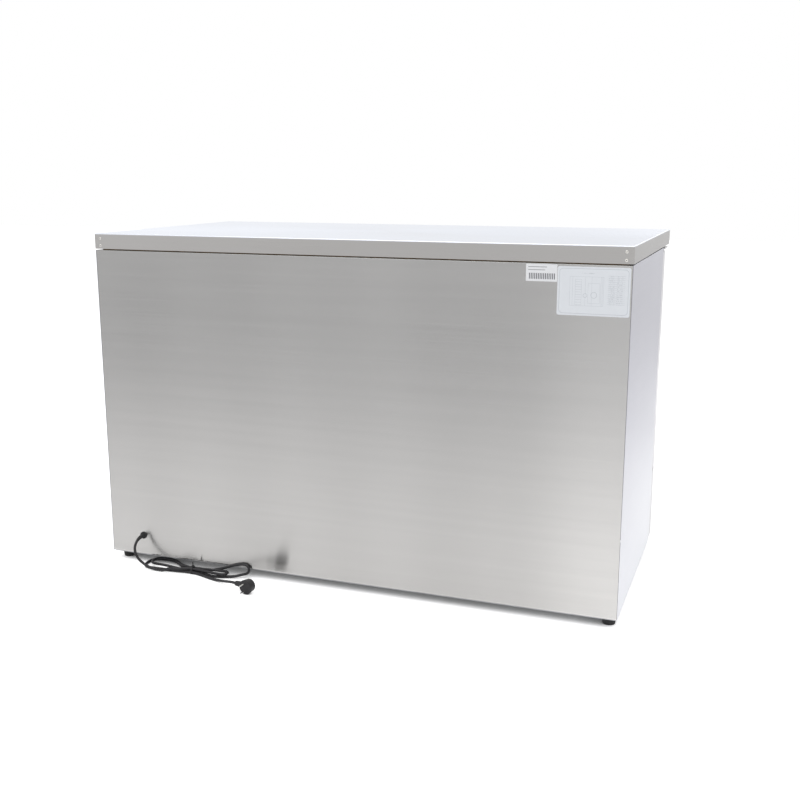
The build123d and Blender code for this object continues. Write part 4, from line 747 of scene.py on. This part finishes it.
# Wide label: all print measures are in millimetres from its middle, to the right and up as seen
wideLabel = {
    "centre": (-0.5975, 0.7795),
    "size": (0.159, 0.107),
    "paper": (0.80, 0.83, 0.87),
    "ink": (0.30, 0.33, 0.37),
    "borderCore": (67.0, 41.0),
    "borderRadius": 8.0,
    "boxes": [(-52, 22, -32, 32), (-40, -26, -30, 26), (-12, 14, -26, 18)],
    "wires": [(-46, -45.6), (-18, -17.6), (-4, -3.6), (16, 16.4), (19, 19.4)],
    "wireReach": (-32, 32),
    "rings": [(1, -8, 6.5), (-18, -9, 4.2)],
    "ruled": [((30, 5.6, 0.5), (-40, -26, -30, 26)), ((40, 4.4, 0.45), (31, 68, -29, 36))],
    "barRows": (42.1, 4.4, 1.5),
    "barColumns": [(33, 46, -28, 36), (50, 63, -28, 36)],
    "title": (-26, 2, 38.5, 40.2),
    "pen": 0.45,
    "inkShare": 0.5,
    "barShare": 0.42,
}
wideFinish = Finish("wideLabelPaper", {"Roughness": 0.32, "Coat Weight": 0.3})
across, up = printPlace(wideFinish, wideLabel["centre"])
coreAcross, coreUp = wideLabel["borderCore"]
borderReach = reach((abs(across) - coreAcross).most(0.0), (abs(up) - coreUp).most(0.0))
ink = abs(borderReach - wideLabel["borderRadius"]) < wideLabel["pen"]
for box in wideLabel["boxes"]:
    ink = ink.most(outlineOf(across, up, *box))
for wire in wideLabel["wires"]:
    ink = ink.most(strip(across, up, *wire, *wideLabel["wireReach"]))
for spacing, box in wideLabel["ruled"]:
    ink = ink.most(rows(up, *spacing) * strip(across, up, *box))
for ringAcross, ringUp, ringRadius in wideLabel["rings"]:
    ink = ink.most(abs(reach(across - ringAcross, up - ringUp) - ringRadius) < wideLabel["pen"])
firstColumn, secondColumn = (strip(across, up, *column) for column in wideLabel["barColumns"])
tableBars = rows(up, *wideLabel["barRows"]) * firstColumn.most(secondColumn)
barNoise = wideFinish.noise((900, 1, 200), 1.0) > 0.5
bars = tableBars.most(strip(across, up, *wideLabel["title"])) * barNoise
inkShare = (ink * wideLabel["inkShare"]).most(bars * wideLabel["barShare"])
widePaper = paperOf(wideFinish, wideLabel["paper"])
wideFinish.feed("Base Color", wideFinish.mix(inkShare, widePaper, wideLabel["ink"]))
wideForm = paperForm(wideLabel["centre"], wideLabel["size"], 0.004, 0.00012)
addPiece("wiringLabel", wideForm, [wideFinish.material])

# Small label: even stripes below two paler rules
smallLabel = {
    "centre": (-0.482, 0.817),
    "size": (0.070, 0.038),
    "paper": (0.86, 0.87, 0.89),
    "ink": (0.09, 0.09, 0.11),
    "stripePitch": 4.0,
    "stripeWidth": 2.0,
    "stripes": (-30, 30, -14, -1),
    "rules": [(-30, 12, 12, 13.4), (-30, 8, 5.5, 6.9)],
    "ruleShare": 0.7,
}
smallFinish = Finish("smallLabelPaper", {"Roughness": 0.4})
across, up = printPlace(smallFinish, smallLabel["centre"])
evenStripes = across % smallLabel["stripePitch"] < smallLabel["stripeWidth"]
stripes = evenStripes * strip(across, up, *smallLabel["stripes"])
upperRule, lowerRule = (strip(across, up, *rule) for rule in smallLabel["rules"])
smallInk = stripes.most(upperRule.most(lowerRule) * smallLabel["ruleShare"])
smallPaper = paperOf(smallFinish, smallLabel["paper"])
smallFinish.feed("Base Color", smallFinish.mix(smallInk, smallPaper, smallLabel["ink"]))
smallForm = paperForm(smallLabel["centre"], smallLabel["size"], 0.0015, 0.0001)
addPiece("stripedLabel", smallForm, [smallFinish.material])
print("rivets and labels made")

# Display: dark window with two lit figures
display = {
    "centre": (0.532, 0.1335),
    "size": (0.052, 0.0006, 0.024),
    "front": -0.2917,
    "edge": 0.00025,
    "window": (0.012, 0.010, 0.012),
    "litBase": (0.5, 0.05, 0.03),
    "lit": (1.0, 0.12, 0.05),
    "figures": {-5: (1, 1, 1, 0, 1, 1, 1), 8: (0, 1, 1, 1, 0, 1, 0)},
}
windowForm = bmesh.new()
bmesh.ops.create_cube(windowForm, size=1)
bmesh.ops.scale(windowForm, vec=display["size"], verts=windowForm.verts[:])
windowPlace = (display["centre"][0], display["front"], display["centre"][1])
bmesh.ops.translate(windowForm, vec=windowPlace, verts=windowForm.verts[:])
bmesh.ops.bevel(
    windowForm, geom=windowForm.edges[:], offset=display["edge"], segments=2,
    profile=0.5, affect="EDGES", material=-1,
)
windowFinish = Finish("displayWindow", {"Roughness": 0.12, "Coat Weight": 0.6})
figureX = (windowFinish.axis("X") - display["centre"][0]) * millimetres
figureZ = (windowFinish.axis("Z") - display["centre"][1]) * millimetres


def figure(middle, segments):
    bars = [
        (-2.6, 2.6, 5.8, 7.0), (-4.2, -3.0, 0.8, 6.2), (3.0, 4.2, 0.8, 6.2), (-2.6, 2.6, -0.6, 0.6),
        (-4.2, -3.0, -6.2, -0.8), (3.0, 4.2, -6.2, -0.8), (-2.6, 2.6, -7.0, -5.8),
    ]
    shown = [
        strip(figureX, figureZ, middle + left, middle + right, low, high)
        for isLit, (left, right, low, high) in zip(segments, bars)
        if isLit
    ]
    mask = shown[0]
    for bar in shown[1:]:
        mask = mask.most(bar)
    return mask


firstFigure, secondFigure = (figure(middle, segments) for middle, segments in display["figures"].items())
lit = firstFigure.most(secondFigure)
windowFinish.feed("Base Color", windowFinish.mix(lit, display["window"], display["litBase"]))
windowFinish.feed("Emission Color", windowFinish.mix(lit, (0, 0, 0), display["lit"]))
windowFinish.shader.inputs["Emission Strength"].default_value = 1.0
addPiece("displayWindow", windowForm, [windowFinish.material])
